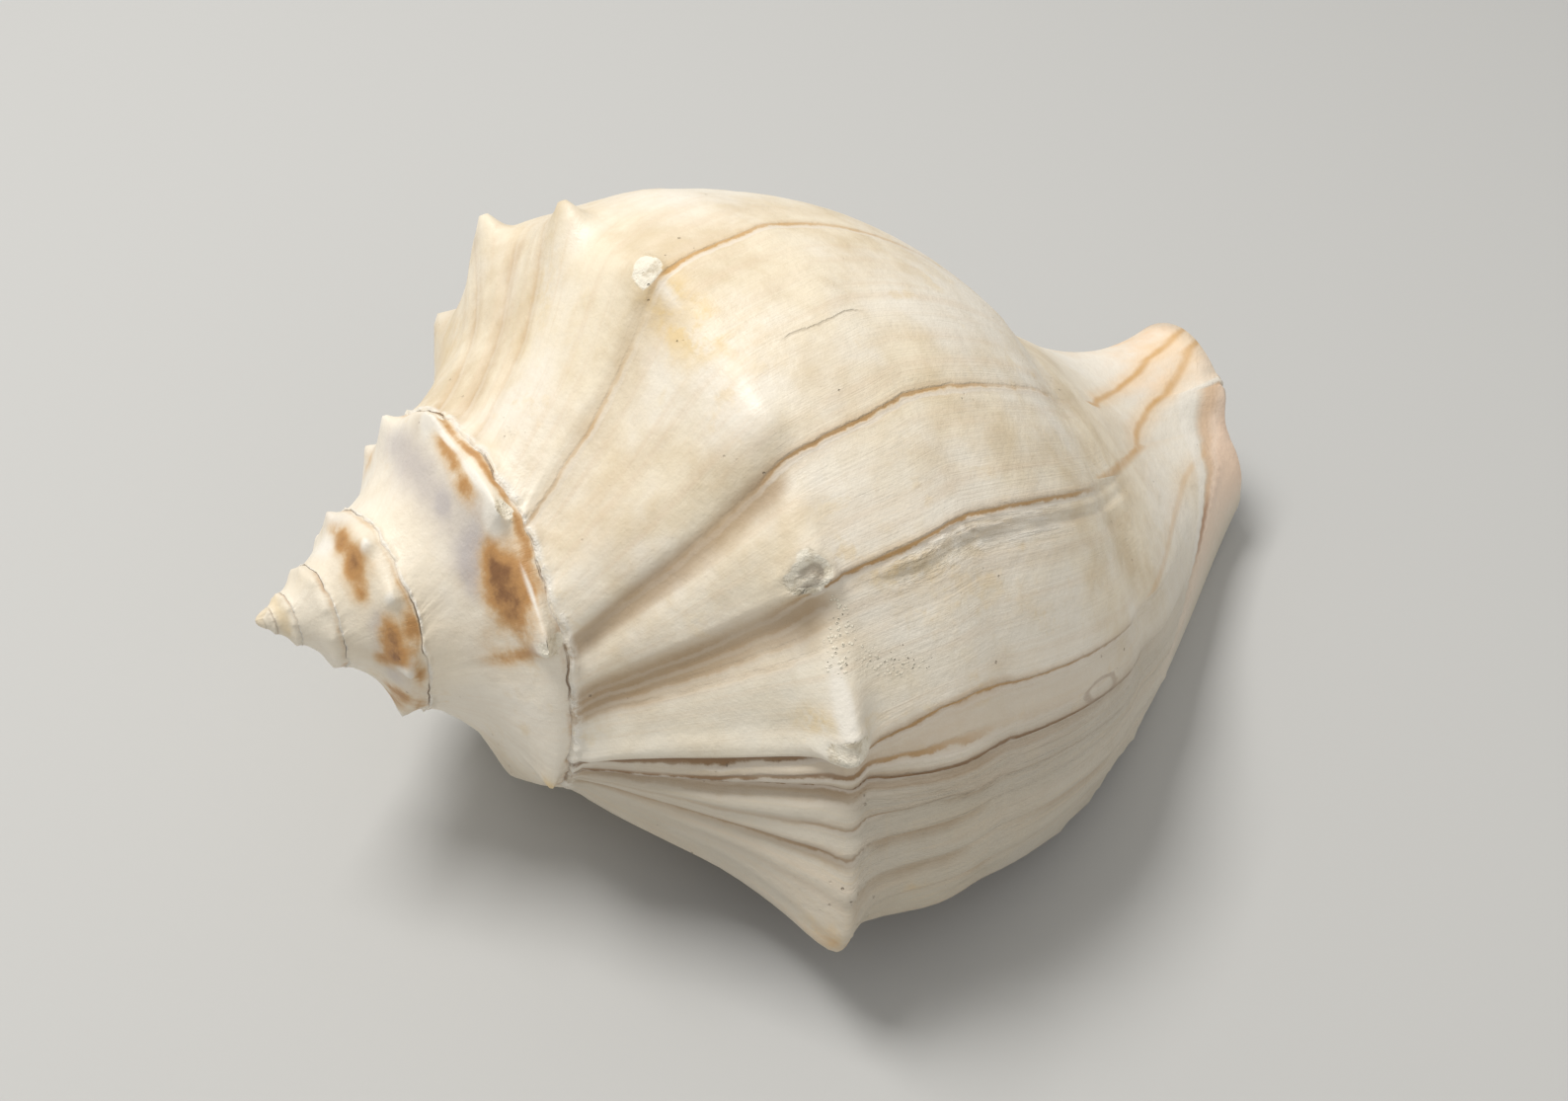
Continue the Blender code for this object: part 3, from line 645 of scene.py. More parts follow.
# stains of growth lines, their darkness partly painted shade in the ledges: line, reach in
# degrees, then strength and darkness along the rows; one number stands for the same darkness
# everywhere
LINE_STAINS_AND_SHADE = (
    (158, 5, (0, 1, 3), (0.3, 0.2, 0.15), 0),
    (140, 8, (0, 1, 3), (0.28, 0.2, 0.15), 0),
    (102, 3, (0, 0.6, 0.9, 1.1, 2, 2.4, 3), (0.65, 0.55, 0.15, 0.8, 0.7, 0, 0),
     (0, 0, 0, 0, 0.05, 0.1, 0.1)),
    (69, 4, (0, 0.9, 1.05, 1.8, 2, 2.15, 2.3, 2.5, 3), (0.15, 0.3, 0.8, 0.9, 0.75, 0.5, 0.4, 0, 0),
     (0.2, 0.2, 0.25, 0.1, 0.1, 0.1, 0.1, 0, 0)),
    (53, 3, (0, 0.8, 1.05, 1.5, 2.2, 2.4, 3), (0.15, 0.25, 0.8, 0.9, 0.85, 0, 0),
     (0.3, 0.3, 0.35, 0.1, 0.1, 0.1, 0.1)),
    (50.6, 1, (0, 0.8, 1.05, 1.5, 2.2, 2.4, 3), (0.15, 0.3, 0.2, 0.15, 0.15, 0, 0),
     (0.3, 0.3, 0.3, 0.2, 0.2, 0.1, 0.1)),
    (47, 3, (0, 0.8, 1.05, 1.5, 2.2, 2.4, 3), (0.28, 0.3, 0.15, 0.1, 0.1, 0, 0),
     (0.3, 0.3, 0.3, 0.2, 0.2, 0.1, 0.1)),
    (31, 2, (0, 0.3, 0.95, 1.1, 1.6, 2.1, 2.3, 2.6, 3), (1.2, 1.2, 1, 1.3, 1.3, 0.8, 0.35, 0, 0),
     (0.95, 0.9, 0.8, 0.45, 0.1, 0.3, 0.7, 0.5, 0.5)),
    (28.4, 1, (0, 0.45, 0.6, 0.95, 1.2, 1.5, 1.8, 2.4, 3), (0, 0, 0.6, 0.8, 0.6, 0.7, 0.3, 0, 0),
     (0.8, 0.8, 0.9, 0.8, 0.3, 0.1, 0.1, 0.3, 0.3)),
    (26, 1.6, (0, 0.3, 0.9, 1.2, 1.8, 2.2, 2.5, 3), (1.3, 1.3, 1.2, 1.4, 1.4, 0.6, 0, 0),
     (1, 0.95, 0.85, 0.75, 0.85, 0.7, 1, 0.8)),
    (24, 0.6, (0, 0.9, 1.2, 2, 2.5, 3), (0.2, 0.3, 0.25, 0.2, 0, 0),
     (0.6, 0.5, 0.5, 0.5, 0.6, 0.6)),
    (20, 1, (0, 0.5, 0.9, 1.2, 2, 2.5, 3), (0.2, 0.35, 0.6, 0.6, 0.35, 0, 0),
     (0.6, 0.5, 0.5, 0.4, 0.5, 0.6, 0.6)),
    (16, 1.2, (0, 0.3, 0.6, 0.9, 1.2, 2, 2.5, 3), (0.1, 0.3, 0.7, 0.8, 0.35, 0.2, 0, 0),
     (0.8, 0.8, 0.8, 0.7, 0.5, 0.5, 0.6, 0.5)),
    (9, 5, (0, 0.9, 1.2, 2, 2.4, 3), (0.05, 0.1, 0.1, 0.1, 0, 0), (0.5, 0.5, 0.4, 0.4, 0.5, 0.5)),
)
PLAIN_LINE = 0.25           # strength and darkness of any other line


def line_ink(age, row):
    """How strongly the growth lines are stained, and how dark, the darkness partly painted shade of
    the ledges.
    """
    strength = PLAIN_LINE + 0.0 * age
    dark = PLAIN_LINE + 0.0 * age
    for at, reach, rows_at, strengths, darks in LINE_STAINS_AND_SHADE:
        near = np.exp(-((age - at) / reach)**2)
        near = np.where(near > 0.02, near, 0)
        darks = np.broadcast_to(darks, len(rows_at))
        strength = strength * (1 - near) + near * np.interp(row, rows_at, strengths)
        dark = dark * (1 - near) + near * np.interp(row, rows_at, darks)
    return strength, dark


broken = np.clip(near_break(angles, grown_rows, 1.10), 0, 1)
broken = broken + np.clip(-broken_relief(angles, grown_rows) - 0.15, 0, 1)
line_age = bend(line_age, grown_rows)
ink, dark = line_ink(line_age, grown_rows)
# tan silt and painted shade in the grooves behind old lips: growth line, amount,
# middle and reach in mm
RAMP_SILT_AND_SHADE = (
    (69, 1.25, 1.6, 2), (53, 1.15, 1.9, 2.6), (48, 0.3, 0.8, 1.2), (45.6, 0.12, 0.8, 1.2),
    (102, 0.45, 2, 3.5), (26, 1.1, 1, 1.1), (16, 0.9, 0.9, 1), (134, 0.5, 1.2, 1.6),
    (146, 0.6, 1.2, 2), (158, 0.5, 1, 2),
)
# on the side: painted shade in the grooves between the folds, patchy, with some tan of their own
SIDE_SILT_AND_SHADE = (
    (53, 0.35, 1.6, 1.8), (26, 0.5, 1, 1.2), (20, 0.6, 0.9, 1.2), (16, 0.8, 1, 1.4),
    (10.5, 0.8, 1, 1.5), (5.5, 0.7, 1, 1.4),
)
silt_and_shade = 0.0 * line_age
for at, amount, middle, reach in RAMP_SILT_AND_SHADE:
    across = (at - line_age) / grain
    silt_and_shade = silt_and_shade + amount * np.exp(-((across - middle) / reach)**2)
silt_and_shade = silt_and_shade * (1 - ease(grown_rows, 0.92, 1.12))
on_side = ease(grown_rows, 0.95, 1.15) * ease(grown_rows, 2.4, 2.2)
for at, amount, middle, reach in SIDE_SILT_AND_SHADE:
    across = (at - line_age) / grain
    patchy = ease(lattice_noise(grown_rows * 3.0 + at, 0.37 * at + 0 * across, 33), -0.9, 0.5)
    silt_and_shade = silt_and_shade + amount * patchy * np.exp(-((across - middle) / reach)**2) * on_side

# tan streaks up the canal: name, growth angle where it starts, half width in mm,
# strength, then the growth angles and rows that it passes through
STREAKS = (
    ("streak_a", 86, 0.9, 0.85, (60, 73, 85, 89, 103, 115, 137, 149, 161, 180),
     (1.8, 2.12, 2.54, 2.62, 2.72, 2.784, 2.865, 2.9, 2.98, 3.2)),
    ("streak_b", 61, 1, 0.75, (40, 52, 61, 64, 67, 85, 110, 146, 160),
     (1.6, 2, 2.4, 2.56, 2.68, 2.8, 2.9, 2.98, 3.1)),
    ("streak_c", 36, 0.6, 0.35, (30, 38, 43, 47, 60), (2.2, 2.46, 2.62, 2.74, 3.1)),
)


def streak_gap(start, at, rows_at):
    """Signed distance in mm from a streak, wherever it has started."""
    line = np.interp(angles, at, rows_at)
    climb = np.interp(angles + 2, at, rows_at) - np.interp(angles - 2, at, rows_at)
    around = np.interp(grown_rows, (2.2, 2.6, 3.0), (0.80, 0.45, 0.25))
    slant = np.sqrt(1 + (CANAL_ROW_MM * climb / 4 / around)**2)
    off = (grown_rows - line) * CANAL_ROW_MM / slant + np.where(grown_rows < 2.2, FAR, 0.0)
    return np.where(angles > start, off, FAR)


NAMES = ("age", "growth", "row", "inside", "grain", "gap", "broken", "ink", "dark", "silt_and_shade",
         "streak_a", "streak_b", "streak_c", "brown", "lavender", "ochre", "chalk", "pitted")
SIDE_END = 2.0              # row where the side ends and the canal begins
UNMARKED = (0.0,) * 4 + (FAR,) * 3 + (0.0,) * 5     # from "broken" to "pitted"
gap = margin_gap(angles, grown_rows)
streaks = [streak_gap(start, at, rows_at) for _, start, _, _, at, rows_at in STREAKS]
stains = [stain(spots) for spots in (BROWN, LAVENDER, OCHRE, CHALK, PITTED)]
out_fields = [line_age, angles, grown_rows, 0 * angles, grain, gap, broken, ink, dark, silt_and_shade]
out_fields += streaks + stains
in_fields = [line_age, angles, grown_rows, 0 * angles + 1, grain, gap]
in_fields = [f[:HOLLOW + 1] for f in in_fields + [0 * angles + value for value in UNMARKED]]

points = []
sheets = []                 # corner indices of each patch with its growth fields


def add_points(block):
    first_index = sum(len(p) for p in points)
    points.append(block.reshape(-1, 3))
    return first_index + np.arange(len(points[-1])).reshape(block.shape[:-1])


def cells(grid, i0, i1, j0, j1):
    corners = [grid[i0:i1, j0:j1], grid[i0 + 1:i1 + 1, j0:j1],
               grid[i0 + 1:i1 + 1, j0 + 1:j1 + 1], grid[i0:i1, j0 + 1:j1 + 1]]
    return np.stack(corners, axis=-1).reshape(-1, 4)


def patch(grid, fields, i0, i1, j0, j1, flip=False):
    blocks = [cells(values, i0, i1, j0, j1) for values in [grid] + fields]
    sheets.append([block[:, ::-1] for block in blocks] if flip else blocks)


def even_fields(corners, age, share):
    """Fields that are the same all over a small patch; share is how far inside it is."""
    values = (age, age, SIDE_END, share, 1.0, FAR) + UNMARKED
    return [np.full(corners.shape, value) for value in values]


outer = add_points(outside)
outer[:LAST_LINE - TURN + 1, 0] = outer[TURN:LAST_LINE + 1, SEAT_ROW]
inner = add_points(inside)
inner[:, 0] = outer[TURN:TURN + HOLLOW + 1, FOOT_ROW]
THIN = 2 * TURN             # from here on every other row is enough
kept = np.unique([0] + list(range(SEAT_ROW % 2, SEAT_ROW + 1, 2)))

patch(outer, out_fields, 0, TURN, 0, LAST_ROW)                      # body whorl
patch(outer, out_fields, TURN, THIN, 0, SEAT_ROW)                   # spire
patch(outer[:, kept], [f[:, kept] for f in out_fields], THIN + 1, LAST_LINE, 0, len(kept) - 1)
for low, high in zip(kept[:-1], kept[1:]):
    between = list(range(high, low, -1))
    at = (np.array([THIN, THIN + 1, THIN + 1] + [THIN] * len(between)),
          np.array([low, low, high] + between))
    sheets.append([grid[at][None, :] for grid in [outer] + out_fields])
patch(outer, out_fields, TURN, TURN + HOLLOW, FOOT_ROW, LAST_ROW)   # pillar
patch(inner, in_fields, 0, HOLLOW, 0, LAST_ROW, flip=True)          # inside of the wall


def along_rim(grid):
    """What a grid holds along the lip, and on along the open canal mouth."""
    return np.concatenate([grid[0], grid[1:CANAL + 1, LAST_ROW]])


# rounded rim along the lip and the open canal mouth
RIM_BANDS = FOOT_ROW - SEAT_ROW
RIM_SWELL = 0.42            # of the wall
rim_out = along_rim(outer)
rim_in = along_rim(inner)
from_canal = outside[:CANAL + 1, LAST_ROW] - outside[:CANAL + 1, LAST_ROW - 1]
outward = np.concatenate([outside[0] - outside[2], from_canal[1:]])
outward = outward / np.linalg.norm(outward, axis=1, keepdims=True)
outward[LAST_ROW] = outward[LAST_ROW - 1] + outward[LAST_ROW + 1]
outward /= np.linalg.norm(outward, axis=1, keepdims=True)
everything = np.concatenate(points)
a = everything[rim_out]
b = everything[rim_in]
thick = np.linalg.norm(a - b, axis=1, keepdims=True)
bands = [rim_out]
for k in range(1, RIM_BANDS):
    t = k / RIM_BANDS
    mid = add_points(a + (b - a) * t + RIM_SWELL * np.sin(np.pi * t) * thick * outward)
    mid[0] = outer[TURN, SEAT_ROW + k]
    bands.append(mid)
rim = np.stack(bands + [rim_in], axis=1)
grown, up, beyond = (along_rim(grid)[:, None] for grid in (angles, grown_rows, gap))
values = (0.0, grown, up, np.linspace(0, 1, RIM_BANDS + 1), 1.0, beyond) + UNMARKED
patch(rim, [value + np.zeros(rim.shape) for value in values], 0, len(rim) - 1, 0, RIM_BANDS)

# bottom of the cavity, between the inner wall and the pillar
ends = slice(CANAL, HOLLOW + 1)
strip = np.stack([inner[ends, LAST_ROW], outer[TURN:][ends, LAST_ROW]], axis=1)
strip_fields = [np.stack([f[ends, LAST_ROW]] * 2, axis=1) for f in in_fields]
patch(strip, strip_fields, 0, HOLLOW - CANAL, 0, 1, flip=True)


def fan(loop, lift, rings, age, share):
    """Closes a loop with rings that rise towards its middle."""
    ring = np.concatenate(points)[loop]
    centre = ring.mean(axis=0)
    last = loop
    for k in range(1, rings):
        scale = 1 - (k / rings)
        block = add_points(centre + (ring - centre) * scale + lift * (1 - scale**2))
        grid = np.stack([last, block], axis=1)
        grid = np.concatenate([grid, grid[:1]])
        patch(grid, even_fields(grid, age, share), 0, len(grid) - 1, 0, 1)
        last = block
    middle = add_points((centre + lift)[None, :])[0]
    corners = np.stack([last, np.roll(last, -1), np.full(len(last), middle)], axis=1)
    sheets.append([corners] + even_fields(corners, age, share))


# the canal end and the apex are closed with low domes
TIP_DOME = 0.0045
APEX_DOME = 0.0012
zero = np.array(0.0)
axis_out = place(zero, np.array(1.0), zero) - place(zero, zero, zero)
axis_out = axis_out / np.linalg.norm(axis_out)
tip = list(outer[CANAL:TURN + CANAL + 1, LAST_ROW]) + list(rim[-1][::-1])[:-1]
fan(np.array(tip), axis_out * TIP_DOME, 7, 0.0, 0.5)
apex = list(outer[LAST_LINE - TURN:LAST_LINE + 1, 0]) + list(outer[LAST_LINE, kept[1:-1]])
fan(np.array(apex)[::-1], -axis_out * APEX_DOME, 4, 1900.0, 0.0)

# deep end of the cavity: wall and pillar are stitched together corner by corner
deep = inner[HOLLOW]
back = outer[TURN + HOLLOW, FOOT_ROW:LAST_ROW + 1]
everything = np.concatenate(points)
faces = []
i = 0
j = 0
while i < len(deep) - 1 or j < len(back) - 1:
    if j == len(back) - 1:
        along = True
    elif i == len(deep) - 1:
        along = False
    else:
        along = (np.linalg.norm(everything[deep[i + 1]] - everything[back[j]])
                 <= np.linalg.norm(everything[deep[i]] - everything[back[j + 1]]))
    if along:
        faces.append((deep[i], deep[i + 1], back[j]))
        i += 1
    else:
        faces.append((deep[i], back[j + 1], back[j]))
        j += 1
faces = np.array([face for face in faces if len(set(face)) == 3])
sheets.append([faces] + even_fields(faces, 430.0, 1.0))

mesh = bpy.data.meshes.new("shell_worn")
everything = np.concatenate(points)
sheets = [[values[:, ::-1] for values in sheet] for sheet in sheets]
used = np.unique(np.concatenate([sheet[0].ravel() for sheet in sheets]))
remap = np.full(len(everything), -1)
remap[used] = np.arange(len(used))
polygons = [face for sheet in sheets for face in remap[sheet[0]].tolist()]
mesh.from_pydata(everything[used].tolist(), [], polygons)
for index, name in enumerate(NAMES):
    values = np.concatenate([sheet[index + 1].ravel() for sheet in sheets])
    layer = mesh.attributes.new(name, "FLOAT", "CORNER")
    layer.data.foreach_set("value", values.astype(np.float32))
mesh.polygons.foreach_set("use_smooth", np.ones(len(mesh.polygons), bool))
shell = bpy.data.objects.new("shell_worn", mesh)
bpy.context.scene.collection.objects.link(shell)
mesh.validate()


class Strand:
    """One socket of a finish.  Sums on it add Math nodes to the same tree."""

    def __init__(self, tree, socket=None):
        self.tree = tree
        self.socket = socket

    def node(self, kind, settings=None, inputs=None, out=0):
        made = self.tree.nodes.new(kind)
        for name, value in (settings or {}).items():
            setattr(made, name, value)
        for key, value in (inputs or {}).items():
            if isinstance(value, Strand):
                self.tree.links.new(value.socket, made.inputs[key])
            else:
                made.inputs[key].default_value = value
        return Strand(self.tree, made.outputs[out])

    def feed(self, socket):
        self.tree.links.new(self.socket, socket)

    def math(self, operation, *values):
        return self.node("ShaderNodeMath", {"operation": operation}, dict(enumerate(values)))

    def __add__(self, other):
        return self.math("ADD", self, other)

    def __sub__(self, other):
        return self.math("SUBTRACT", self, other)

    def __rsub__(self, other):
        return self.math("SUBTRACT", other, self)

    def __mul__(self, other):
        return self.math("MULTIPLY", self, other)

    def __truediv__(self, other):
        return self.math("DIVIDE", self, other)

    __radd__ = __add__
    __rmul__ = __mul__

    def away(self):
        return self.math("ABSOLUTE", self)

    def least(self, other):
        return self.math("MINIMUM", self, other)

    def most(self, other):
        return self.math("MAXIMUM", self, other)

    def ease(self, low, high):
        """Smooth step from 0 at low to 1 at high; low may be above high."""
        if low > high:
            return 1 - self.ease(high, low)
        return self.node("ShaderNodeMapRange", {"interpolation_type": "SMOOTHSTEP", "clamp": True},
                         {"Value": self, "From Min": low, "From Max": high})

    def field(self, name):
        settings = {"attribute_type": "GEOMETRY", "attribute_name": name}
        return self.node("ShaderNodeAttribute", settings, out="Fac")

    def noise(self, vector, scale, detail=3.0, rough=0.55):
        return self.node("ShaderNodeTexNoise", {"noise_dimensions": "3D"},
                         {"Vector": vector, "Scale": scale, "Detail": detail, "Roughness": rough})

    def cells(self, vector, scale):
        return self.node("ShaderNodeTexVoronoi", {"feature": "F1"},
                         {"Vector": vector, "Scale": scale}, out="Distance")

    def join(self, x, y, z):
        return self.node("ShaderNodeCombineXYZ", None, {0: x, 1: y, 2: z})

    def blend(self, share, first, second):
        return self.node("ShaderNodeMix", {"data_type": "RGBA", "clamp_factor": True},
                         {0: share, 6: first, 7: second}, out=2)

    def under(self, share, tint):
        """This colour with a tint laid over it."""
        return self.blend(share, self, tint)


material = bpy.data.materials.new("worn_shell")
material.use_nodes = True
lime = material.node_tree.nodes["Principled BSDF"]
s = Strand(material.node_tree)

age = s.field("age")
growth = s.field("growth")
row = s.field("row")
grain_here = s.field("grain")
within = s.field("inside")
skin = 1 - within           # the outside of the shell
at_mm = s.node("ShaderNodeVectorMath", {"operation": "SCALE"},
               {0: s.node("ShaderNodeTexCoord", out="Object"), 3: 1000.0})

broad = s.noise(at_mm, 0.035, 4.0, 0.6)
cloud = s.noise(at_mm, 0.11, 5.0, 0.62)
smudge = s.noise(at_mm, 0.26, 4.0, 0.62)
fine = s.noise(at_mm, 0.45, 5.0, 0.65)
speck = s.noise(at_mm, 2.2, 3.0, 0.6)
bands = s.noise(s.join(age * 0.42, row * 0.9, 0.0), 1.0, 4.0, 0.6)
thin_bands = s.noise(s.join(age * 1.9, row * 1.6, 3.0), 1.0, 4.0, 0.65)
spiral = s.noise(s.join(age * 0.10, row * 22.0, 7.0), 1.0, 4.0, 0.6)
cloud_off = cloud - 0.5
fine_off = fine - 0.5
speck_off = speck - 0.5

CREAM = (0.86, 0.76, 0.585, 1)
WARM = (0.70, 0.58, 0.40, 1)
COOL_AND_SHADE = (0.58, 0.525, 0.43, 1)
BLEACHED = (0.84, 0.80, 0.70, 1)
SPIRE_CREAM = (0.88, 0.81, 0.69, 1)
PINK_TAN = (0.72, 0.56, 0.40, 1)
WHITE = (0.885, 0.84, 0.755, 1)
SILT_AND_SHADE_TINT = (0.41, 0.28, 0.155, 1)
OCHRE_TINT = (0.78, 0.58, 0.28, 1)
LAVENDER_TINT = (0.50, 0.46, 0.46, 1)
GOLDEN = (0.64, 0.41, 0.19, 1)
TAWNY = (0.48, 0.235, 0.068, 1)
BROWN_TINT = (0.22, 0.10, 0.040, 1)
LINE_PALE = (0.58, 0.33, 0.11, 1)
LINE_DARK_AND_SHADE = (0.15, 0.075, 0.038, 1)
SUTURE_CRACK = (0.27, 0.145, 0.06, 1)
RAW_GREY = (0.68, 0.60, 0.46, 1)
RAW_WHITE = (0.89, 0.83, 0.70, 1)
HOLLOW_SHADE_GREY = (0.38, 0.32, 0.25, 1)
PALE_SALMON = (0.95, 0.80, 0.66, 1)
SALMON = (0.90, 0.52, 0.29, 1)
HOOK_TAN = (0.86, 0.58, 0.34, 1)
STREAK_HALO = (0.86, 0.60, 0.34, 1)
STREAK_TAN = (0.64, 0.37, 0.13, 1)
BORDER_TAN = (0.66, 0.40, 0.20, 1)
BORDER_BROWN = (0.38, 0.19, 0.10, 1)
PEACH = (0.88, 0.65, 0.46, 1)
PALE_PEACH = (0.88, 0.72, 0.55, 1)
FLAKE_TAN = (0.54, 0.43, 0.28, 1)
FLAKE_PALE = (0.90, 0.86, 0.78, 1)
CRUMB_GOLD = (0.92, 0.86, 0.70, 1)
PIT_BROWN = (0.34, 0.24, 0.15, 1)
HAIR_BROWN = (0.36, 0.29, 0.20, 1)
CHIP_BROWN = (0.40, 0.30, 0.22, 1)

# cream and ivory mottling, greyer and darker behind the lip, partly its own tone and partly
# painted shade where the light falls off low on the lip side, and whiter on the spire
colour = s.blend(cloud.ease(0.34, 0.68), CREAM, WARM)
colour = colour.under(broad.ease(0.38, 0.60) * 0.72, WHITE)
# near the lip: own grey tone plus painted shade, darker where the light falls off low on the lip
# side
near_lip = age.ease(34.0, 22.0) * skin
colour = colour.under(near_lip * 0.80, COOL_AND_SHADE)
bleached = age.ease(50.0, 43.0) * row.ease(1.25, 0.9) * (1 - near_lip)
colour = colour.under(bleached * 0.40, BLEACHED)
off_canal = row.ease(2.6, 2.3)
colour = colour.under(bands.ease(0.45, 0.70) * 0.30 * off_canal, PINK_TAN)
colour = colour.under(thin_bands.ease(0.50, 0.75) * (0.12 + 0.30 * near_lip) * off_canal, WARM)
colour = colour.under(spiral.ease(0.52, 0.72) * 0.14, WARM)
spire = growth.ease(340.0, 350.0) * row.ease(1.32, 1.28)
colour = colour.under(spire * 0.50, SPIRE_CREAM)

# stains soaked into the surface, with soft ragged edges
ragged = fine_off * 0.8 + cloud_off * 1.2
streaky = cloud_off * 0.9 + (smudge - 0.5) * 1.7 + fine_off * 0.4
ochre = (s.field("ochre").least(1.2) + ragged * 0.8).ease(0.10, 1.3)
ochre = ochre * (0.25 + 0.75 * smudge.ease(0.40, 0.58))
spots = smudge.ease(0.56, 0.72) * broad.ease(0.42, 0.60) * off_canal * (1 - near_lip) * skin
ochre = ochre.most(spots * 0.45)
colour = colour.under(ochre * 0.75, OCHRE_TINT)
lavender = (s.field("lavender").least(1.2) + ragged * 0.45).ease(0.0, 1.3)
colour = colour.under(lavender * 0.85, LAVENDER_TINT)
brown = s.field("brown")
brown = brown + streaky * (0.25 + 1.1 * brown)
colour = colour.under(brown.ease(0.0, 0.80) * 0.80, GOLDEN)
colour = colour.under(brown.ease(0.45, 1.10) * 0.85, TAWNY)
colour = colour.under(brown.ease(1.05, 2.00) * 0.90, BROWN_TINT)
chalk = (s.field("chalk") + ragged * 0.4).ease(0.25, 0.9)
colour = colour.under(chalk * 0.85, WHITE)
# tan in the grooves behind old lips: partly silt, partly painted shade
silted_and_shaded = (s.field("silt_and_shade") + ragged * 0.35).ease(0.10, 1.2)
colour = colour.under(silted_and_shaded * 0.75, SILT_AND_SHADE_TINT)

# old lip edges: thin stained lines, darkened with painted shade in the grooves, each with a
# pale edge on its younger side that is partly a painted highlight on the next layer's lit top
LINE_AGES = (
    10.5, 16, 20, 24, 26, 28.4, 31, 45.6, 48, 50.6, 53, 69, 102, 134, 146, 158,
)
PALE_AND_LIT_EDGE_MM = 0.62
dark_here = s.field("dark")
wobble = fine_off * 0.9 + cloud_off * 0.9 + row.ease(1.0, 0.8) * 0.65
wobble = (wobble - row.ease(1.0, 1.15) * dark_here * 0.55) * grain_here


def nearest_line(shifted):
    """Distance in mm from the nearest stained line."""
    nearest = shifted * 0.0 + 90.0
    for line in LINE_AGES:
        nearest = nearest.least((shifted - line).away())
    return nearest / grain_here


nearest = nearest_line(age + wobble)
pale_edge_and_highlight = nearest_line(age + wobble + grain_here * PALE_AND_LIT_EDGE_MM)
ink_here = s.field("ink") * (0.35 + 1.2 * cloud) * skin
# soft dark band round each line: stain and painted shade in the groove of the ledge
soft_line_and_shade = nearest.ease(1.5, 0.1) * ink_here * (0.36 + 0.24 * dark_here)
thin_line = (nearest / (1 + 0.45 * dark_here) - fine_off * 0.5).ease(0.33, 0.08)
thin_line = thin_line * ink_here.ease(0.15, 0.9)
line_colour = s.blend(dark_here, LINE_PALE, LINE_DARK_AND_SHADE)
# pale edge on the younger side: partly pale shell, partly painted highlight
colour = colour.under(pale_edge_and_highlight.ease(0.45, 0.12) * ink_here.ease(0.0, 0.8) * 0.7, WHITE)
colour = colour.under(soft_line_and_shade, line_colour)
colour = colour.under(thin_line * 0.85, line_colour)

# suture: a thin brown crack with a crumbly white edge and a tan halo
past_seat = growth.ease(335.0, 341.0)
from_seat = (row + cloud_off * 0.10 - SEAT).away() / (1 + 1.5 * growth.ease(850.0, 1000.0))
below_suture = from_seat.ease(0.075, 0.01) * past_seat * skin
colour = colour.under(below_suture * smudge.ease(0.42, 0.66) * 0.45, TAWNY)
on_top = skin * (row + cloud_off * 0.06).ease(0.075, 0.03) * (0.15 + 0.85 * fine.ease(0.42, 0.56))
colour = colour.under(on_top * 0.8, WHITE)
open_here = 0.12 + 0.88 * cloud.ease(0.44, 0.60)
crack = (row + fine_off * 0.03).ease(0.012, 0.002)
crack = crack.most((row + fine_off * 0.05 - SEAT).away().ease(0.015, 0.002) * past_seat)
crack = crack * open_here * skin
colour = colour.under(crack * 0.80, SUTURE_CRACK)

# broken tips: bare white chalk, with painted shade grey in the hollows
broken_tip = s.field("broken")
raw = (broken_tip + fine_off * 0.35).ease(0.30, 0.62)
hollow = (broken_tip + fine_off * 0.5).ease(1.25, 1.65)
colour = colour.under(raw, s.blend(fine.ease(0.34, 0.52), RAW_GREY, RAW_WHITE))
# painted shade in the hollows of the craters
colour = colour.under(hollow * 0.70, HOLLOW_SHADE_GREY)

# salmon margin of the canal, the tan streaks beside it, and the peach inside
gap_here = s.field("gap") + cloud_off * 1.6 + fine_off * 0.2
on_canal = skin * growth.ease(128.0, 112.0)
margin = gap_here.ease(-1.5, 2.0) * on_canal * growth.ease(8.0, 40.0)
salmon = (growth.ease(32.0, 62.0) * 0.68 + 0.32) * (0.60 + 0.40 * gap_here.ease(1.0, 3.4))
colour = colour.under(margin * 0.90, s.blend(salmon, PALE_SALMON, SALMON))
hook = row.ease(2.66, 2.92) * growth.ease(95.0, 125.0) * growth.ease(230.0, 180.0) * skin
colour = colour.under(hook * (0.30 + 1.1 * cloud.ease(0.35, 0.65)) * 0.60, HOOK_TAN)
near_canal = row.ease(2.45, 2.7) * growth.ease(30.0, 60.0) * growth.ease(190.0, 150.0) * skin
colour = colour.under(near_canal * 0.45, WHITE)
lasting = growth.ease(20.0, 40.0) * growth.ease(172.0, 160.0) * gap_here.ease(0.4, -0.6)
lasting = lasting * skin * (0.4 + 1.2 * cloud)
for name, start, reach, amount, _, _ in STREAKS:
    beside = (s.field(name) + cloud_off * 1.2).away()
    halo = beside.ease(4.4 * reach, 0.2) * growth.ease(start + 1.0, start + 12.0)
    colour = colour.under(halo * lasting * 0.62 * amount, STREAK_HALO)
    colour = colour.under(beside.ease(1.25 * reach, 0.1) * lasting * 0.90 * amount, STREAK_TAN)
fold = gap_here.ease(-5.5, -3.8) * gap_here.ease(-1.2, -2.4) * on_canal * growth.ease(24.0, 34.0)
colour = colour.under(fold * 0.7, WHITE)
border = (gap_here - 0.2).away().ease(2.2, 0.2) * on_canal * growth.ease(20.0, 34.0)
dark_border = growth.ease(27.0, 30.0) * growth.ease(40.0, 35.0)
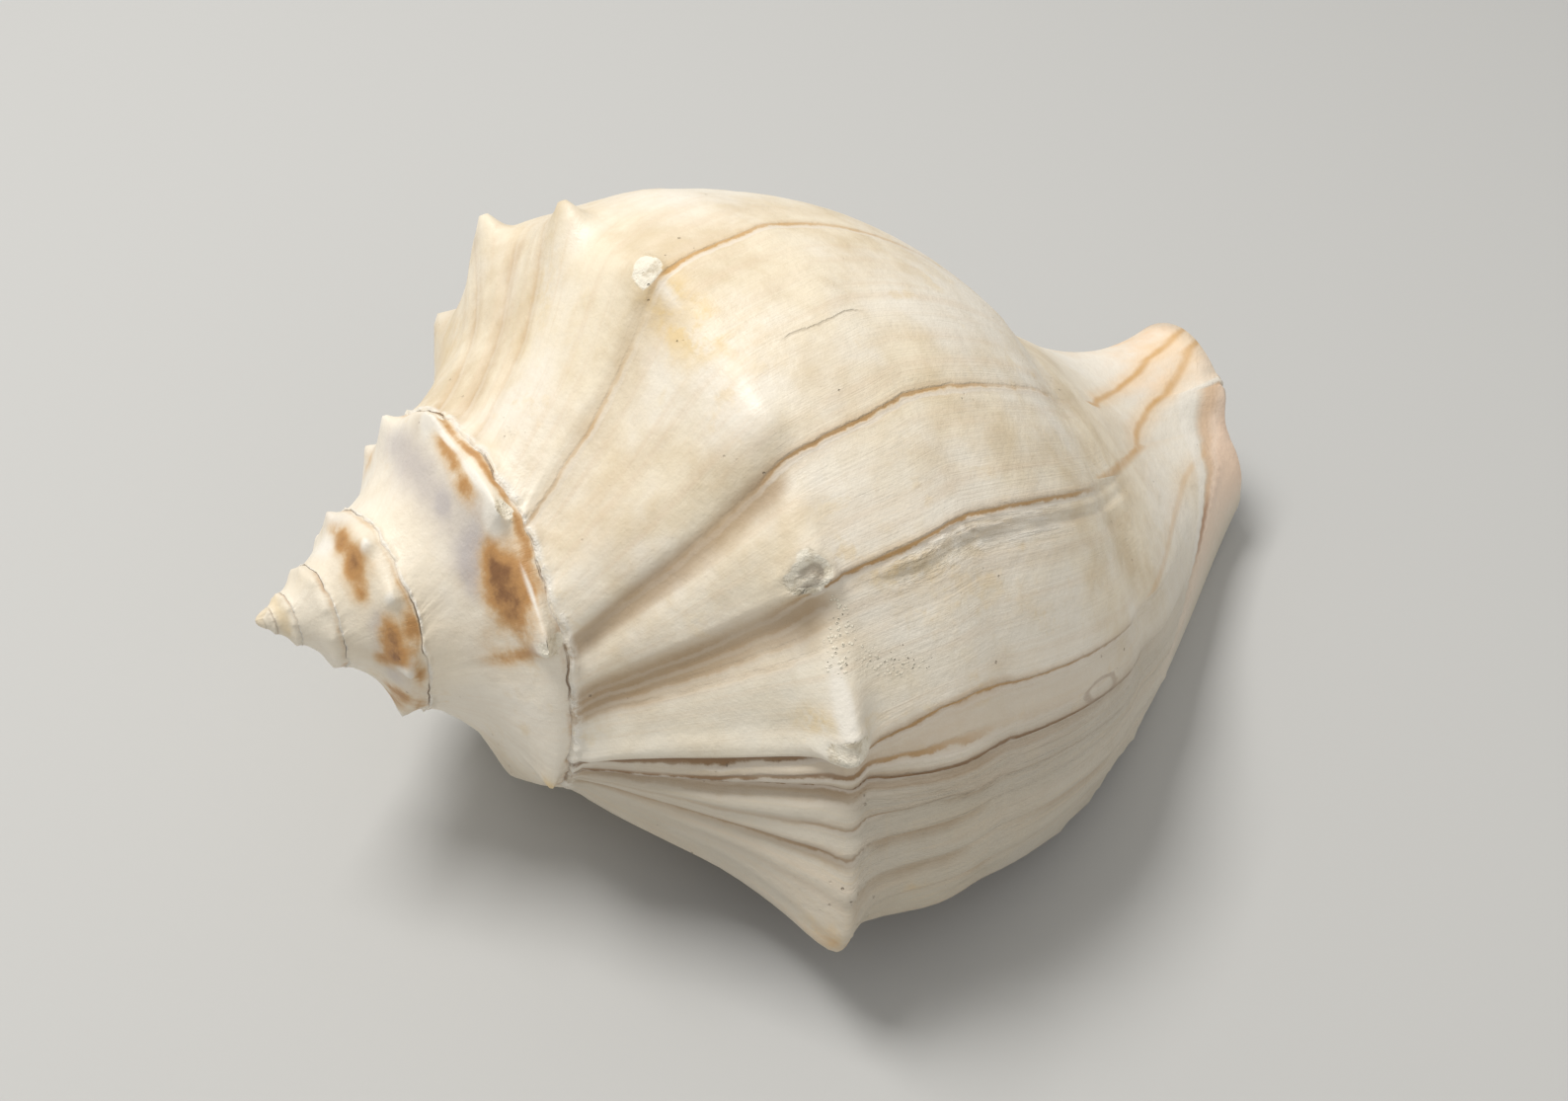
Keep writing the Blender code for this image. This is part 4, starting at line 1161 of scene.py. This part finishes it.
colour = colour.under(border * (0.55 + 0.30 * dark_border),
                      s.blend(dark_border * 0.75, BORDER_TAN, BORDER_BROWN))
colour = colour.under(within.ease(0.35, 1.0) * (0.85 + 0.15 * cloud),
                      s.blend(broad.ease(0.35, 0.65), PEACH, PALE_PEACH))

# thin layers flaking off under the strong line on the side
depth_in = (STRONG_LINE - age) / grain_here
flaked = depth_in.ease(0.3, 0.9) * depth_in.ease(7.0, 2.5) * skin
flaked = flaked * row.ease(1.25, 1.5) * row.ease(2.25, 2.1)
layers = s.noise(s.join(depth_in * 0.75, row * 6.0, 2.0), 1.0, 5.0, 0.62)
colour = colour.under(flaked * layers.ease(0.52, 0.40) * 0.45, FLAKE_TAN)
colour = colour.under(flaked * layers.ease(0.54, 0.62) * 0.4, FLAKE_PALE)

# small dark pits and pale crumbs
pitted = s.field("pitted")
tiny = s.cells(at_mm, 1.9) + speck_off * 0.5
crumb = tiny.ease(0.44, 0.20) * (pitted + fine_off * 2.6).ease(0.60, 0.85)
colour = colour.under(crumb * 0.6, CRUMB_GOLD)
pit = s.cells(at_mm, 0.55).ease(0.12, 0.05) * cloud.ease(0.57, 0.66) * skin
pit = pit.most(tiny.ease(0.20, 0.08) * (pitted - fine_off * 2.6).ease(0.80, 1.0))
colour = colour.under(pit * 0.50, PIT_BROWN)

# a hairline crack low on the side and one healed oval chip
CRACK_AT = (84.5, 1.43)     # growth angle, row
CHIP_AT = (28.9, 2.19)
crack_line = growth - CRACK_AT[0] - (row - CRACK_AT[1]) * 4.1 + fine_off * 1.2 + cloud_off * 1.5
hair = crack_line.away().ease(0.28, 0.05) * row.ease(1.36, 1.44) * row.ease(1.98, 1.88) * skin
colour = colour.under(hair * 0.42, HAIR_BROWN)
chip_x = (growth - CHIP_AT[0]) * 0.62
chip_y = (row - CHIP_AT[1]) * 26.0
chip = s.math("SQRT", chip_x * chip_x + chip_y * chip_y)
oval = (chip - 1.0 + fine_off * 0.5).away().ease(0.30, 0.05) * skin
oval = oval * growth.ease(20.0, 24.0) * growth.ease(36.0, 33.0)
colour = colour.under(oval * 0.55, CHIP_BROWN)
colour.feed(lime.inputs["Base Color"])

rough = 0.46 + cloud_off * 0.35 + fine_off * 0.22 + 0.12 * ochre + 0.10 * thin_line
rough = rough - 0.22 * within.ease(0.3, 1.0) + 0.35 * raw
rough.feed(lime.inputs["Roughness"])

# heights in mm
striae = s.noise(s.join(age * 3.4, row * 2.2, 1.0), 1.0, 4.0, 0.6)
ridges = s.noise(s.join(age * 0.5, row * 42.0, 5.0), 1.0, 3.0, 0.6)
on_side = row.ease(0.95, 1.15)
outer_height = (
    (striae - 0.5) * (0.03 + 0.03 * on_side + 0.22 * near_lip * on_side) * off_canal
    + (ridges - 0.5) * 0.03 * on_side * off_canal
    + fine_off * (0.16 + 0.30 * raw) + cloud_off * 0.35 + speck_off * (0.02 + 0.14 * raw)
    - pit * 0.30 + crumb * 0.07 - hair * 0.08 - oval * 0.10 - crack * 0.25
    + (layers - 0.5) * flaked * 0.6 + on_top * fine_off * 0.5
    - nearest.ease(0.45, 0.1) * ink_here * 0.12
)
relief_height = outer_height * (1 - 0.85 * within)
bump = s.node("ShaderNodeBump", None, {"Height": relief_height, "Distance": 0.001, "Strength": 1.0})
bump.feed(lime.inputs["Normal"])
lime.inputs["Specular IOR Level"].default_value = 0.5
lime.inputs["Subsurface Weight"].default_value = 0.0
mesh.materials.append(material)
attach(shell, "root")
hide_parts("shell")


# ---------------------------------------------------------------- studio
# A pale matt floor under soft light: a large panel overhead and behind, a
# weaker one in front, and a little light from the room.
HALF_FLOOR = 12.0
corners = [(-HALF_FLOOR, -HALF_FLOOR, 0), (HALF_FLOOR, -HALF_FLOOR, 0),
           (HALF_FLOOR, HALF_FLOOR, 0), (-HALF_FLOOR, HALF_FLOOR, 0)]
floor_mesh = bpy.data.meshes.new("floor")
floor_mesh.from_pydata(corners, [], [(0, 1, 2, 3)])
floor = bpy.data.objects.new("floor", floor_mesh)
bpy.context.scene.collection.objects.link(floor)
floor_paint = bpy.data.materials.new("pale_floor")
floor_paint.use_nodes = True
paint = floor_paint.node_tree.nodes["Principled BSDF"]
paint.inputs["Base Color"].default_value = (0.52, 0.52, 0.51, 1)
paint.inputs["Roughness"].default_value = 0.8
floor_mesh.materials.append(floor_paint)


SHELL_MIDDLE = Vector((0, 0, 0.03))


def panel(name, position, size, power, tint):
    """A lamp that faces the shell."""
    light = bpy.data.lights.new(name, "AREA")
    light.shape = "RECTANGLE"
    light.size, light.size_y = size
    light.energy = power
    light.color = tint
    lamp = bpy.data.objects.new(name, light)
    lamp.location = position
    lamp.rotation_euler = (SHELL_MIDDLE - Vector(position)).to_track_quat("-Z", "Y").to_euler()
    bpy.context.scene.collection.objects.link(lamp)


panel("overhead_panel", (-0.21, 0.28, 0.82), (0.34, 0.26), 5.7, (1.0, 0.985, 0.96))
panel("front_panel", (0.1, -0.8, 0.6), (0.6, 0.4), 0.5, (1.0, 0.98, 0.95))
world = bpy.data.worlds.new("room")
world.use_nodes = True
room = world.node_tree.nodes["Background"]
room.inputs["Color"].default_value = (1.0, 0.985, 0.95, 1)
room.inputs["Strength"].default_value = 0.50
bpy.context.scene.world = world
bpy.context.scene.view_settings.view_transform = "Standard"

camera_data = bpy.data.cameras.new("camera")
camera_data.sensor_width = 36.0
camera_data.lens = 38.335
camera_data.clip_start = 0.01
camera = bpy.data.objects.new("camera", camera_data)
camera.location = (-0.09446, -0.13696, 0.19462)
camera.rotation_euler = Euler(np.radians((44.325, -2.271, -29.632)))
bpy.context.scene.collection.objects.link(camera)
bpy.context.scene.camera = camera
